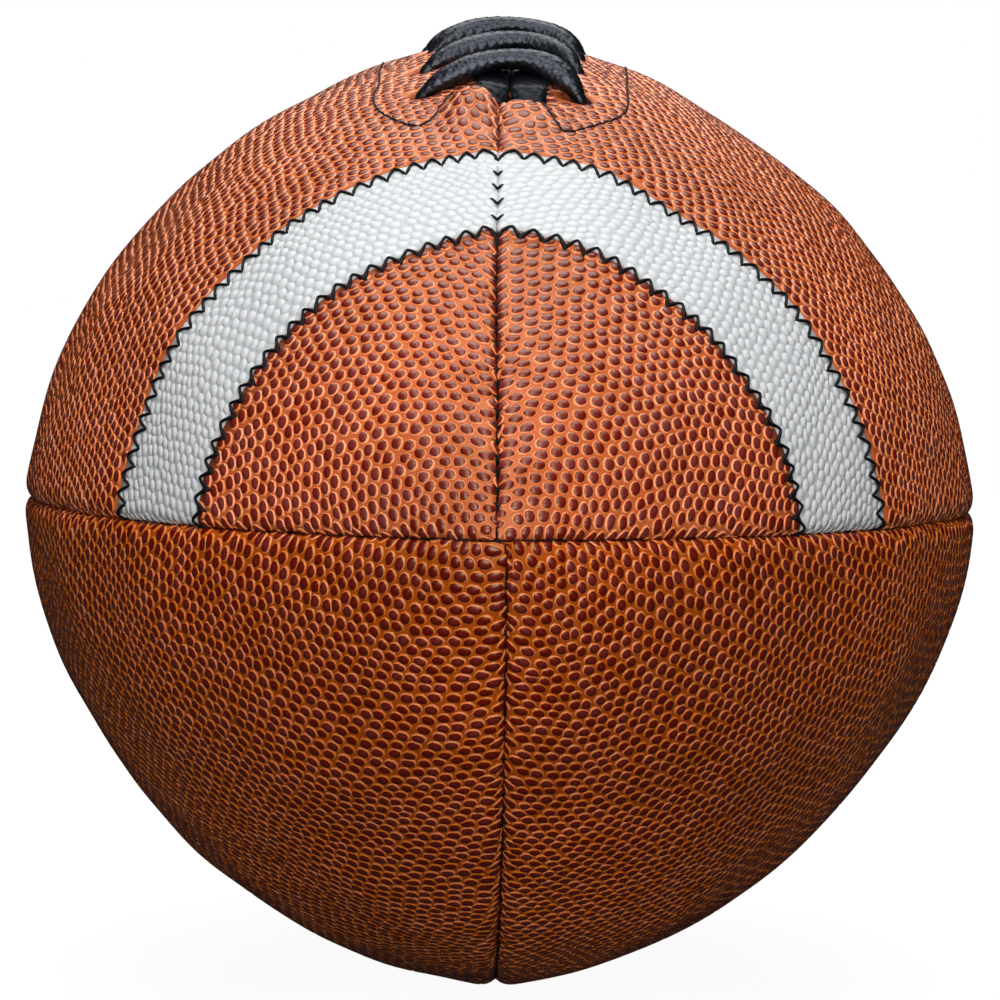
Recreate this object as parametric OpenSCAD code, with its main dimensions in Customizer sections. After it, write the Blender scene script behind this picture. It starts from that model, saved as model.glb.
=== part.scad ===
// American football, laces up, nose to nose along Y.
// Four leather panels are sewn edge to edge over a rubber bladder and laced shut along the top seam.
// The origin is on the floor under the middle of the ball, which rests on the seam opposite the laces.

/* [Ball] */
// Length from nose to nose
ball_length = 283; // [270:1:292]
// Distance from the long axis to a seam at mid length
seam_radius = 87; // [83:0.5:90]
// Radius at the middle of a panel, as a share of the seam radius
panel_middle_share = 0.955; // [0.945:0.005:0.97]
// Share of an ellipse in the side profile, the rest being a pointed arc
round_profile_share = 0.35; // [0.3:0.05:0.6]

/* [Cover] */
// Thickness of the leather
leather_t = 2.1; // [1.9:0.1:2.4]
// Gap between the edges of two sewn panels
seam_gap = 0.3; // [0.2:0.05:0.5]
// Width of one rounded panel edge, from the seam to the full height of the panel
edge_w = 3; // [2:0.25:4]
// Depth of the groove along a seam
groove_depth = 1.6; // [1.2:0.1:2]
// Thickness of the skived edge that is turned in and sewn
flange_t = 1.6; // [1.2:0.1:1.8]
// Depth of the turned edge below the surface
flange_depth = 5; // [4:0.25:5.5]
// Thickness of the cloth lining
lining_t = 0.6; // [0.5:0.1:0.8]
// Gap between two layers that lie on each other
seat_gap = 0.3; // [0.25:0.05:0.35]

/* [Stripes] */
// Width of a white stripe, measured over the leather
stripe_w = 25.4; // [20:0.2:28]
// Distance along the axis from the nose to the near edge of a stripe
stripe_from_nose = 34; // [30:0.5:40]
// Thickness of a stripe
stripe_t = 0.8; // [0.6:0.1:1]

/* [Lacing] */
// Number of laces across the opening
cross_laces = 8; // [6:1:8]
// Distance between two laces
lace_pitch = 16.5; // [15:0.25:17]
// Distance across the opening between a pair of lace holes
lace_span = 28.6; // [27:0.2:31]
// Width of the lace
lace_w = 5.4; // [4.6:0.2:6]
// Thickness of the lace
lace_t = 2.2; // [1.8:0.1:2.4]
// Diameter of a lace hole
lace_hole_d = 5.6; // [5.2:0.1:6]
// Gap between the two panels along the opening
slot_gap = 3; // [2:0.25:4]
// Width of the leather facing on each side of the opening
facing_w = 24.5; // [23:0.5:26]
// Thickness of the facing
facing_t = 1.2; // [0.8:0.1:1.4]
// Half width of the tongue under the laces
tongue_half_w = 20; // [18:0.5:21]
// Thickness of the tongue
tongue_t = 1; // [0.7:0.1:1.3]

/* [Bladder and valve] */
// Wall of the rubber bladder
bladder_t = 0.8; // [0.7:0.1:1.2]
// Angle from the middle of the panel to the valve
valve_angle = 10; // [6:1:12]
// Diameter of the hole for the inflation needle
needle_hole_d = 2.3; // [2:0.1:2.6]
// Outside diameter of the valve core
valve_core_d = 3.8; // [3.4:0.1:4]
// Outside diameter of the rubber boot where it fills the hole in the leather
boot_nose_d = 5.4; // [5:0.1:6]
// Outside diameter of the boot below the lining
boot_stem_d = 7.4; // [6.8:0.1:8]
// Diameter of the boot's flange inside the bladder
boot_flange_d = 18; // [14:1:20]
// Length of the boot below its flange
boot_tail = 4; // [3:0.5:7]

/* [Threads] */
// Thickness of the thread in the seams
seam_thread_d = 0.6; // [0.4:0.05:0.7]
// Thickness of the thread round the stripes and facings
stitch_thread_d = 0.5; // [0.3:0.05:0.6]
// Length of one zigzag along a stripe's edge
zigzag_pitch = 3.3; // [3:0.1:5]
// Width of the zigzag
zigzag_w = 2; // [1.4:0.1:2.4]

/* [Hidden] */

leather_colour = "#B5602F";
stripe_colour = "#E6E8E8";
lace_colour = "#1B1C1F";
cloth_colour = "#CFC6B4";
facing_colour = "#6E3A22";
bladder_colour = "#8C8F94";
valve_colour = "#26272A";
thread_colour = "#15161C";

half_length = ball_length / 2;
half_gap = seam_gap / 2;
round_parts = 48;

// Side profile of a seam: an ellipse mixed with an arc that has the same length and height
profile_arc_r = (half_length * half_length + seam_radius * seam_radius) / (2 * seam_radius);
function ellipse_height(y) = seam_radius * sqrt(1 - pow(y / half_length, 2));
function arc_height(y) = sqrt(pow(profile_arc_r, 2) - y * y) - profile_arc_r + seam_radius;
function seam_height(y) =
    round_profile_share * ellipse_height(y) + (1 - round_profile_share) * arc_height(y);
function seam_slope(y) =
    -round_profile_share * seam_radius * seam_radius * y
        / (half_length * half_length * ellipse_height(y))
    - (1 - round_profile_share) * y / sqrt(pow(profile_arc_r, 2) - y * y);

// Cross-section of a panel: one arc from seam to seam, written as shares of the seam's height
chord_share = sqrt(0.5);
sag_share = panel_middle_share - chord_share;
arc_share = (chord_share * chord_share + sag_share * sag_share) / (2 * sag_share);
centre_share = arc_share - panel_middle_share;
edge_lean_share = centre_share / (arc_share * sqrt(2));

// Angle of the point of the arc that lies a distance e from the plane of the seam
function arc_angle(e, height) =
    acos((e * sqrt(2) / height + centre_share) / (arc_share * sqrt(2))) - 45;

// Direction away from the surface, in the panel's frame: outwards, along the arc, along the ball
function surface_normal(y, angle) =
    let (climb = seam_slope(y) * (arc_share - centre_share * cos(angle)))
    [cos(angle), sin(angle), -climb] / sqrt(1 + climb * climb);

// A point at a depth d below the panel's nominal surface, in the panel's frame
function panel_point(y, angle, d) =
    let (height = seam_height(y))
    [(arc_share * cos(angle) - centre_share) * height, arc_share * sin(angle) * height, y]
        - d * surface_normal(y, angle);

// The same point, given by its distance e from the seam on one side of the panel
function edge_point(y, side, e, d) =
    panel_point(y, side * arc_angle(e + d * edge_lean_share, seam_height(y)), d);

// From the frame of a panel whose middle points along the given angle to the ball's own frame
function turned(p, angle) =
    [p[0] * cos(angle) - p[1] * sin(angle), p[2], p[0] * sin(angle) + p[1] * cos(angle)];
right_lace_angle = 45;
right_back_angle = -45;

// A point beside the top seam: x is the distance across, and d the depth below the surface
function top_point(x, y, d) =
    let (p = turned(edge_point(y, 1, abs(x), d), right_lace_angle))
    [x, p[1], p[2]];
function top_normal(x, y) =
    let (n = turned(surface_normal(y, arc_angle(abs(x), seam_height(y))), right_lace_angle))
    [sign(x) * n[0], n[1], n[2]];

// Height of the middle of the ball above the floor: the reach of a panel's rounded edge
edge_steps = 2;
edge_turn = 90 / edge_steps;
function edge_share(i) = 1 - cos(i * edge_turn);
function groove_share(i) = 1 - sin(i * edge_turn);
rest_reaches = [for (i = [0 : edge_steps])
    let (p = edge_point(0, 1, half_gap + edge_w * edge_share(i), groove_depth * groove_share(i)))
    (p[0] + p[1]) * chord_share];
rest_height = max(rest_reaches);

// Faces of a solid whose rings all have the same number of points, with ladder-like ends
function ring_faces(rings, size) = concat(
    [for (i = [0 : rings - 2]) for (j = [0 : size - 1])
        let (a = i * size + j, b = i * size + (j + 1) % size) [a, b, a + size]],
    [for (i = [0 : rings - 2]) for (j = [0 : size - 1])
        let (a = i * size + j, b = i * size + (j + 1) % size) [b, b + size, a + size]],
    [for (j = [0 : size / 2 - 2]) [j, size - 1 - j, j + 1]],
    [for (j = [0 : size / 2 - 2]) [j + 1, size - 1 - j, size - 2 - j]],
    [for (j = [0 : size / 2 - 2])
        let (o = (rings - 1) * size) [o + j, o + j + 1, o + size - 1 - j]],
    [for (j = [0 : size / 2 - 2])
        let (o = (rings - 1) * size) [o + j + 1, o + size - 2 - j, o + size - 1 - j]]
);
module ringed_solid(rings) {
    polyhedron(
        points = [for (ring = rings) for (p = ring) p],
        faces = ring_faces(len(rings), len(rings[0])),
        convexity = 10
    );
}

// The opening: straight along the laces, with a wider eye at each end where the strands dive in
lace_row_half = (cross_laces - 1) / 2 * lace_pitch;
eye_from_lace = 11;
eye_y = lace_row_half + eye_from_lace;
eye_clear = 0.5;
eye_half_length = lace_t / 2 + eye_clear;
strand_side_gap = 0.3;
strand_x = lace_w / 2 + strand_side_gap;
eye_half_w = strand_x + lace_w / 2 + eye_clear;
eye_ease = 2.5;
slot_end = eye_y + eye_half_length + eye_ease;
function eased(s) = let (c = min(1, max(0, s))) c * c * (3 - 2 * c);
function opening_half(y) =
    let (in_slot = eased((slot_end - abs(y)) / eye_ease),
         in_eye = eased((eye_half_length + eye_ease - abs(abs(y) - eye_y)) / eye_ease))
    half_gap + (slot_gap / 2 - half_gap) * in_slot + (eye_half_w - slot_gap / 2) * in_eye;

// Places of the rings along a panel, each with the depth that its outside is sunk by
stripe_near = half_length - stripe_from_nose;
stripe_slope_share = 0.4;
stripe_far = stripe_near
    - stripe_w / sqrt(1 + pow(seam_slope(stripe_near - stripe_slope_share * stripe_w), 2));
recess_depth = stripe_t + seat_gap;
recess_wall = 0.2;
tip_angle = 3.2;
nose_rings = 6;
stripe_rings = 3;
near_recess = stripe_near + recess_wall;
far_recess = stripe_far - recess_wall;
slot_start = slot_end + eye_ease;
near_angle = acos(near_recess / half_length);
nose_places = concat(
    [for (i = [0 : nose_rings])
        [half_length * cos(tip_angle + (near_angle - tip_angle) * i / nose_rings), 0]],
    [for (i = [0 : stripe_rings])
        [stripe_near + (stripe_far - stripe_near) * i / stripe_rings, recess_depth]],
    [for (i = [0 : 1]) [far_recess + (slot_start - far_recess) * i / 2, 0]]
);
eye_places = [
    [slot_start, 0],
    [slot_end, 0],
    [eye_y + eye_half_length, 0],
    [eye_y - eye_half_length, 0],
    [eye_y - eye_half_length - eye_ease, 0]
];
middle_start = eye_y - eye_half_length - eye_ease;
middle_rings = 20;
middle_places = [for (i = [1 : middle_rings - 1])
    [middle_start * (1 - 2 * i / middle_rings), 0]];
function reversed(list) = [for (i = [len(list) - 1 : -1 : 0]) list[i]];
function far_side(list) = [for (s = list) [-s[0], s[1]]];
lace_panel_places = concat(
    far_side(nose_places), far_side(eye_places), reversed(middle_places),
    reversed(eye_places), reversed(nose_places)
);
back_rings = 24;
back_panel_places = [for (i = [0 : back_rings])
    [-half_length * cos(tip_angle + (180 - 2 * tip_angle) * i / back_rings), 0]];

// One ring of a panel: out along the rounded edges and the arc, back along the turned edges
arc_parts = 8;
edge_w_share = 0.25;
groove_height_share = 0.14;
flange_t_share = 0.2;
flange_height_share = 0.35;
function outer_row(y, sink, open_half) =
    let (height = seam_height(y),
         w = min(edge_w, edge_w_share * height),
         groove = min(groove_depth, groove_height_share * height),
         from = -arc_angle(half_gap + w, height),
         to = arc_angle(open_half + w, height))
    concat(
        [for (i = [0 : edge_steps - 1])
            edge_point(y, -1, half_gap + w * edge_share(i), groove * groove_share(i) + sink)],
        [for (i = [0 : arc_parts]) panel_point(y, from + (to - from) * i / arc_parts, sink)],
        [for (i = [edge_steps - 1 : -1 : 0])
            edge_point(y, 1, open_half + w * edge_share(i), groove * groove_share(i) + sink)]
    );
function inner_row(y, open_half) =
    let (height = seam_height(y),
         w = min(flange_t, flange_t_share * height),
         turned_depth = max(leather_t + seat_gap, min(flange_depth, flange_height_share * height)),
         lean = leather_t * edge_lean_share,
         from = arc_angle(open_half + w + lean, height),
         to = -arc_angle(half_gap + w + lean, height))
    concat(
        [edge_point(y, 1, open_half, turned_depth), edge_point(y, 1, open_half + w, turned_depth)],
        [for (i = [0 : arc_parts])
            panel_point(y, from + (to - from) * i / arc_parts, leather_t)],
        [edge_point(y, -1, half_gap + w, turned_depth), edge_point(y, -1, half_gap, turned_depth)]
    );

module panel_shell(places, angle, laced) {
    ringed_solid([for (s = places)
        let (open_half = laced ? opening_half(s[0]) : half_gap)
        [for (p = concat(outer_row(s[0], s[1], open_half), inner_row(s[0], open_half)))
            turned(p, angle)]]);
}

// A cutter that stands across the surface at a point, from above the leather to below the facing
cut_reach = 8;
module across_surface(at, out) {
    translate(at)
        rotate([0, acos(out[2]), atan2(out[1], out[0])])
            children();
}
module lace_hole_cuts() {
    for (i = [0 : cross_laces - 1]) {
        y = -lace_row_half + i * lace_pitch;
        across_surface(top_point(lace_span / 2, y, 0), top_normal(lace_span / 2, y))
            cylinder(h = 2 * cut_reach, d = lace_hole_d, center = true, $fn = round_parts);
    }
}

// The valve stands square to the surface at mid length, in the left lace panel
valve_at = turned(panel_point(0, valve_angle, 0), right_lace_angle);
valve_out = turned(surface_normal(0, valve_angle), right_lace_angle);
valve_clear = 0.3;
valve_cut_depth = 10;
module at_valve() {
    mirror([1, 0, 0])
        across_surface(valve_at, valve_out)
            children();
}
module valve_cut(diameter) {
    at_valve()
        cylinder(h = 2 * valve_cut_depth, d = diameter, center = true, $fn = round_parts);
}

module raised() {
    translate([0, 0, rest_height]) children();
}

module lace_panel_right() {
    difference() {
        panel_shell(lace_panel_places, right_lace_angle, true);
        lace_hole_cuts();
    }
}
module panel_lace_right() {
    color(leather_colour) raised() lace_panel_right();
}
module panel_lace_left() {
    color(leather_colour) raised() difference() {
        mirror([1, 0, 0]) lace_panel_right();
        valve_cut(boot_nose_d + 2 * valve_clear);
    }
}
module back_panel_right() {
    panel_shell(back_panel_places, right_back_angle, false);
}
module panel_back_right() {
    color(leather_colour) raised() back_panel_right();
}
module panel_back_left() {
    color(leather_colour) raised() mirror([1, 0, 0]) back_panel_right();
}

// A stripe fills the recess of a lace panel from seam to seam
stripe_side_gap = 0.15;
module stripe_right() {
    near = stripe_near - stripe_side_gap;
    far = stripe_far + stripe_side_gap;
    ringed_solid([for (i = [0 : stripe_rings])
        let (y = -(near + (far - near) * i / stripe_rings))
        [for (p = concat(outer_row(y, 0, half_gap), reversed(outer_row(y, stripe_t, half_gap))))
            turned(p, right_lace_angle)]]);
}
module stripe(left, rear) {
    color(stripe_colour) raised()
        mirror([left ? 1 : 0, 0, 0])
            mirror([0, rear ? 1 : 0, 0])
                stripe_right();
}

// A lining lies under its panel, between the turned edges
lining_top = leather_t + seat_gap;
lining_bottom = lining_top + lining_t;
lining_tip_angle = 16;
lining_parts = arc_parts;
function lining_row(y, d, open_half) =
    let (height = seam_height(y),
         side = flange_t + seat_gap + d * edge_lean_share,
         from = -arc_angle(half_gap + side, height),
         to = arc_angle(open_half + side, height))
    [for (i = [0 : lining_parts]) panel_point(y, from + (to - from) * i / lining_parts, d)];
lining_end_rings = 5;
lining_end_places = [for (i = [0 : lining_end_rings - 1])
    half_length * cos(lining_tip_angle
        + (acos(slot_start / half_length) - lining_tip_angle) * i / lining_end_rings)];
slot_rings = 8;
slot_places = [for (i = [1 : slot_rings - 1]) -middle_start * (1 - 2 * i / slot_rings)];
lace_lining_places = concat(
    [for (y = lining_end_places) -y],
    [for (s = eye_places) -s[0]],
    slot_places,
    [for (s = reversed(eye_places)) s[0]],
    reversed(lining_end_places)
);
back_lining_skip = 2;
back_lining_places = [for (i = [back_lining_skip : back_rings - back_lining_skip])
    back_panel_places[i][0]];
module lining_shell(places, angle, laced) {
    ringed_solid([for (y = places)
        let (open_half = laced ? opening_half(y) : half_gap)
        [for (p = concat(lining_row(y, lining_top, open_half),
                         reversed(lining_row(y, lining_bottom, open_half))))
            turned(p, angle)]]);
}
module lace_lining_right() {
    difference() {
        lining_shell(lace_lining_places, right_lace_angle, true);
        lace_hole_cuts();
    }
}
module lining_lace_right() {
    color(cloth_colour) raised() lace_lining_right();
}
module lining_lace_left() {
    color(cloth_colour) raised() difference() {
        mirror([1, 0, 0]) lace_lining_right();
        valve_cut(boot_stem_d + 2 * valve_clear);
    }
}
module lining_back_right() {
    color(cloth_colour) raised() lining_shell(back_lining_places, right_back_angle, false);
}
module lining_back_left() {
    color(cloth_colour) raised()
        mirror([1, 0, 0]) lining_shell(back_lining_places, right_back_angle, false);
}

// The facing is a strip of leather that the lace holes go through, under the lining
facing_top = lining_bottom + 2 * seat_gap;
facing_bottom = facing_top + facing_t;
facing_reach = 6;
facing_end = slot_start + facing_reach;
facing_parts = 4;
facing_places = concat(
    [-facing_end], [for (s = eye_places) -s[0]],
    slot_places,
    [for (s = reversed(eye_places)) s[0]], [facing_end]
);
function facing_row(y, d) =
    let (from = opening_half(y) + flange_t + 2 * seat_gap)
    [for (i = [0 : facing_parts]) top_point(from + (facing_w - from) * i / facing_parts, y, d)];
module facing_right_side() {
    difference() {
        ringed_solid([for (y = facing_places)
            concat(reversed(facing_row(y, facing_top)), facing_row(y, facing_bottom))]);
        lace_hole_cuts();
    }
}
module facing_right() {
    color(facing_colour) raised() facing_right_side();
}
module facing_left() {
    color(facing_colour) raised() mirror([1, 0, 0]) facing_right_side();
}

// The lace passes under the facing, and the tongue keeps it off the bladder
pass_gap = 0.3;
pass_depth = facing_bottom + pass_gap + lace_t / 2;
tongue_top = pass_depth + lace_t / 2 + pass_gap;
tongue_bottom = tongue_top + tongue_t;
tongue_parts = 3;
tongue_rings = 12;
function tongue_row(y, d) =
    [for (i = [-tongue_parts : tongue_parts]) top_point(tongue_half_w * i / tongue_parts, y, d)];
module lace_tongue() {
    color(facing_colour) raised()
        ringed_solid([for (i = [0 : tongue_rings])
            let (y = facing_end * (2 * i / tongue_rings - 1))
            concat(reversed(tongue_row(y, tongue_top)), tongue_row(y, tongue_bottom))]);
}

// The route of the one lace: along the top, down an eye, over and under across the opening
// bar by bar, up the other eye and along the top again.
// A stop is a place, a direction across the strap, and the strap's width there.
strand_rise = pass_gap + lace_t / 2;
bar_gap = 0.5;
bar_rise = strand_rise + lace_t + bar_gap;
hole_x = lace_span / 2;
hole_lace_w = 4.2;
along_x = [1, 0, 0];
along_y = [0, 1, 0];
function bar_y(i) = -lace_row_half + i * lace_pitch;
bar_across_shares = [0.93, 0.78, 0.5, 0.2];
bar_rise_shares = [0.3, 0.72, 0.96, 1];
function bar_side(i, s) = [for (k = [0 : len(bar_across_shares) - 1])
    [top_point(s * hole_x * bar_across_shares[k], bar_y(i), -bar_rise * bar_rise_shares[k]),
     along_y, lace_w]];
function hole_stops(i, s) = [
    [top_point(s * hole_x, bar_y(i), 0), along_y, hole_lace_w],
    [top_point(s * hole_x, bar_y(i), facing_top), along_y, hole_lace_w]
];
function bar_stops(i) = concat(
    reversed(hole_stops(i, -1)), bar_side(i, -1), reversed(bar_side(i, 1)), hole_stops(i, 1)
);
pass_across_shares = [0.8, 0.4, 0, -0.4, -0.8];
pass_run = [2 * hole_x, lace_pitch] / norm([2 * hole_x, lace_pitch]);
function pass_stops(i) = [for (s = pass_across_shares)
    [top_point(s * hole_x, bar_y(i) - lace_pitch * (1 - s) / 2, pass_depth),
     [-pass_run[1], pass_run[0], 0], lace_w]];
strand_steps = 10;
strand_places = [for (i = [0 : strand_steps]) (eye_y - lace_t) * (2 * i / strand_steps - 1)];
eye_bend = lace_t / 2;
function eye_stops(end, x) = [
    [top_point(x, end * (eye_y - eye_bend), -strand_rise + eye_bend / 2), -along_x, lace_w],
    [top_point(x, end * eye_y, lace_t / 2), -along_x, lace_w],
    [top_point(x, end * eye_y, flange_depth), -along_x, lace_w]
];
function strand_stops(x) = [for (y = strand_places)
    [top_point(x, y, -strand_rise), -along_x, lace_w]];
tail_from_lace = 5;
tail_y = lace_row_half + tail_from_lace;
turn_width_dir = [-chord_share, chord_share, 0];
function tail_stop(end, x) = [
    [top_point(x, end * tail_y, pass_depth), -along_x, lace_w],
    [top_point(x, end * (eye_y - eye_bend), pass_depth), -along_x, lace_w]
];
last_bar = cross_laces - 1;
turn_y = (eye_y + lace_row_half) / 2;
turn_stop_left = [[top_point(-(hole_x + strand_x) / 2, turn_y, pass_depth), turn_width_dir, lace_w]];
turn_stop_right = [[top_point((hole_x + strand_x) / 2, -turn_y, pass_depth), turn_width_dir, lace_w]];
lace_stops = concat(
    tail_stop(-1, -strand_x),
    reversed(eye_stops(-1, -strand_x)),
    strand_stops(-strand_x),
    eye_stops(1, -strand_x),
    turn_stop_left,
    bar_stops(last_bar),
    [for (i = [last_bar : -1 : 1]) for (stop = concat(pass_stops(i), bar_stops(i - 1))) stop],
    turn_stop_right,
    reversed(eye_stops(-1, strand_x)),
    strand_stops(strand_x),
    eye_stops(1, strand_x),
    reversed(tail_stop(1, strand_x))
);
function unit(v) = v / norm(v);
strap_outline_shares = [
    [0.5, 0.2], [0.36, 0.5], [-0.36, 0.5], [-0.5, 0.2],
    [-0.5, -0.2], [-0.36, -0.5], [0.36, -0.5], [0.5, -0.2]
];
function lace_ring(i) =
    let (stop = lace_stops[i],
         before = lace_stops[max(0, i - 1)][0],
         after = lace_stops[min(len(lace_stops) - 1, i + 1)][0],
         run = unit(after - before),
         across = unit(stop[1] - (stop[1] * run) * run),
         up = cross(run, across))
    [for (s = strap_outline_shares) stop[0] + s[0] * stop[2] * across + s[1] * lace_t * up];
lace_rings = [for (i = [0 : len(lace_stops) - 1]) lace_ring(i)];
module lace() {
    color(lace_colour) raised() ringed_solid(lace_rings);
}

// The least gap of the lace to itself, between points of rings that aren't near along the strap
apart_rings = 5;
search_reach = 2.5 * lace_w;
ring_gaps = [for (i = [0 : len(lace_rings) - 1 - apart_rings])
    for (j = [i + apart_rings : len(lace_rings) - 1])
        if (norm(lace_stops[i][0] - lace_stops[j][0]) < search_reach)
            min([for (p = lace_rings[i]) for (q = lace_rings[j]) norm(p - q)])];
echo(least_lace_gap = min(ring_gaps));

// The bladder fills the cover, with a bed pressed into it by the tongue and the laces
lining_flat_clear = 0.5;
bladder_depth = lining_bottom + seat_gap + lining_flat_clear;
bladder_tip_angle = 24;
bladder_steps = 23;
bladder_cap = 5;
bladder_facets = 96;
function bladder_place(y, depth, share) =
    let (climb = seam_slope(y) * share,
         down = depth / sqrt(1 + climb * climb))
    [seam_height(y) * share - down, y + down * climb];
function bladder_outline(wall) =
    let (ends = half_length * cos(bladder_tip_angle) - wall + bladder_cap)
    concat(
        [[0, -ends]],
        [for (i = [0 : bladder_steps])
            bladder_place(-half_length * cos(bladder_tip_angle
                + (180 - 2 * bladder_tip_angle) * i / bladder_steps),
                bladder_depth + wall, panel_middle_share)],
        [[0, ends]]
    );
bed_depth = tongue_bottom + seat_gap;
tongue_edge = edge_point(0, 1, tongue_half_w, 0);
bed_share = norm([tongue_edge[0], tongue_edge[1]]) / seam_radius;
bed_side_gap = 2;
bed_half_w = facing_w + bed_side_gap;
bed_half_length = facing_end + bed_side_gap;
bed_core_half_length = bed_half_length + bed_depth;
bed_steps = 10;
function bed_outline(wall) =
    let (places = [for (i = [0 : bed_steps])
        bladder_place(bed_core_half_length * (2 * i / bed_steps - 1), bed_depth + wall, bed_share)])
    concat([[0, places[0][1]]], places, [[0, places[bed_steps][1]]]);
module bladder_turned(outline) {
    rotate([-90, 0, 0])
        rotate_extrude($fn = bladder_facets)
            polygon(outline);
}
module bladder_fill(wall) {
    difference() {
        bladder_turned(bladder_outline(wall));
        translate([-bed_half_w - wall, -bed_half_length - wall, 0])
            cube([2 * (bed_half_w + wall), 2 * (bed_half_length + wall), seam_radius]);
    }
    bladder_turned(bed_outline(wall));
}
module bladder() {
    color(bladder_colour) raised() difference() {
        bladder_fill(0);
        bladder_fill(bladder_t);
        valve_cut(boot_stem_d + 2 * valve_clear);
    }
}

// The valve: a rubber boot bonded into the bladder, and a core with the needle's hole
boot_top = 0.4;
boot_step = leather_t + valve_clear;
boot_flange_t = 1.5;
boot_core_gap = 0.05;
bladder_r = bladder_outline(0)[ceil(bladder_steps / 2)][0];
wall_depth = norm(valve_at) - bladder_r + bladder_t;
flange_r = boot_flange_d / 2;
flange_sag = flange_r * flange_r / (2 * (bladder_r - bladder_t));
flange_lean = flange_r * sin(acos(valve_out * valve_at / norm(valve_at)));
boot_flange_top = wall_depth + flange_sag + flange_lean + seat_gap;
valve_depth = boot_flange_top + boot_flange_t + boot_tail;
core_top = 0.6;
core_bottom = valve_depth - core_top;
module valve_part(from, to, diameter) {
    translate([0, 0, -to])
        cylinder(h = to - from, d = diameter, $fn = round_parts);
}
module valve_boot() {
    color(valve_colour) raised() at_valve() difference() {
        union() {
            valve_part(boot_top, boot_step, boot_nose_d);
            valve_part(boot_step, valve_depth, boot_stem_d);
            valve_part(boot_flange_top, boot_flange_top + boot_flange_t, boot_flange_d);
        }
        valve_part(0, valve_depth + boot_top, valve_core_d + 2 * boot_core_gap);
    }
}
module valve_core() {
    color(valve_colour) raised() at_valve() difference() {
        valve_part(core_top, core_bottom, valve_core_d);
        valve_part(0, valve_depth, needle_hole_d);
    }
}
needle_middle = valve_at - valve_out * (core_top + core_bottom) / 2;
echo(needle_at = [-needle_middle[0], needle_middle[1], needle_middle[2] + rest_height]);
echo(needle_axis = [-valve_out[0], valve_out[1], valve_out[2]]);
echo(needle_length = core_bottom - core_top);

// A thread of four sides through a list of places, each with the two directions of its ring
module thread(stops, thickness) {
    ringed_solid([for (s = stops)
        let (r = thickness / 2)
        [s[0] + r * s[1], s[0] + r * s[2], s[0] - r * s[1], s[0] - r * s[2]]]);
}

// A seam's thread lies in the groove between the two rounded edges
seam_thread_depth_share = 0.5;
seam_thread_rings = 38;
seam_thread_tip_angle = 9;
function seam_stop(y) =
    let (climb = seam_slope(y),
         out = [1, -climb, 0] / sqrt(1 + climb * climb),
         groove = min(groove_depth, groove_height_share * seam_height(y)))
    [[seam_height(y), y, 0] - seam_thread_depth_share * groove * out, out, [0, 0, 1]];
function seam_run(from, to, rings) = [for (i = [0 : rings])
    let (angle = from + (to - from) * i / rings)
    seam_stop(-half_length * cos(angle))];
module seam_thread(angle) {
    color(thread_colour) raised()
        rotate([0, -angle, 0])
            thread(seam_run(seam_thread_tip_angle, 180 - seam_thread_tip_angle, seam_thread_rings),
                   seam_thread_d);
}
top_thread_end_angle = acos(slot_start / half_length);
top_thread_rings = 12;
module top_thread_front() {
    thread(seam_run(seam_thread_tip_angle, top_thread_end_angle, top_thread_rings), seam_thread_d);
}
module seam_thread_top() {
    color(thread_colour) raised() {
        rotate([0, -90, 0]) top_thread_front();
        mirror([0, 1, 0]) rotate([0, -90, 0]) top_thread_front();
    }
}

// Zigzag thread over both edges of a stripe, lying on the leather
thread_gap = 0.05;
thread_lift = stitch_thread_d / 2 + thread_gap;
zig_half = zigzag_pitch / 2;
zig_spread = sqrt(1 + pow(zigzag_w / zig_half, 2));
function zigzag_run(y) =
    let (height = seam_height(y),
         end_angle = arc_angle(half_gap + edge_w, height),
         run = 2 * end_angle * PI / 180 * arc_share * height,
         zigs = 2 * round(run / zigzag_pitch),
         lean = 1 / sqrt(1 + pow(seam_slope(y), 2)),
         swing = zigzag_w / 2 * lean)
    [for (i = [0 : zigs])
        let (angle = end_angle * (2 * i / zigs - 1),
             z = y + (i % 2 == 0 ? swing : -swing),
             out = surface_normal(z, angle),
             side = cross(out, cross([0, 0, 1], out)))
        [turned(panel_point(z, angle, -thread_lift), right_lace_angle),
         turned(out, right_lace_angle),
         turned(unit(side), right_lace_angle) * zig_spread]];
module stripe_thread(left, rear) {
    color(thread_colour) raised()
        mirror([left ? 1 : 0, 0, 0])
            mirror([0, rear ? 1 : 0, 0]) {
                thread(zigzag_run(-stripe_near), stitch_thread_d);
                thread(zigzag_run(-stripe_far), stitch_thread_d);
            }
}

// Stitching round a facing: shares of the facing's width and of the distance to the slot's end
facing_line_shares = [
    [0.3, 0.99], [0.38, 1.05], [0.5, 1.08], [0.64, 1.05], [0.78, 0.98], [0.88, 0.89],
    [0.86, 0.8], [0.85, 0.72], [0.92, 0.64]
];
straight_line_share = facing_line_shares[len(facing_line_shares) - 1][0];
straight_line_shares = [0.5, 0.35, 0.2, 0.07];
facing_line_front = concat(
    [for (s = facing_line_shares) [s[0] * facing_w, -s[1] * slot_end]],
    [for (s = straight_line_shares) [straight_line_share * facing_w, -s * slot_end]]
);
facing_line = concat(
    facing_line_front, [for (s = reversed(facing_line_front)) [s[0], -s[1]]]
);
function facing_stop(i) =
    let (last = len(facing_line) - 1,
         at = facing_line[i],
         before = facing_line[max(0, i - 1)],
         after = facing_line[min(last, i + 1)],
         run = unit(top_point(after[0], after[1], 0) - top_point(before[0], before[1], 0)),
         out = top_normal(at[0], at[1]))
    [top_point(at[0], at[1], -thread_lift), out, unit(cross(out, run))];
module facing_thread_right() {
    color(thread_colour) raised()
        thread([for (i = [0 : len(facing_line) - 1]) facing_stop(i)], stitch_thread_d);
}
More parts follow.
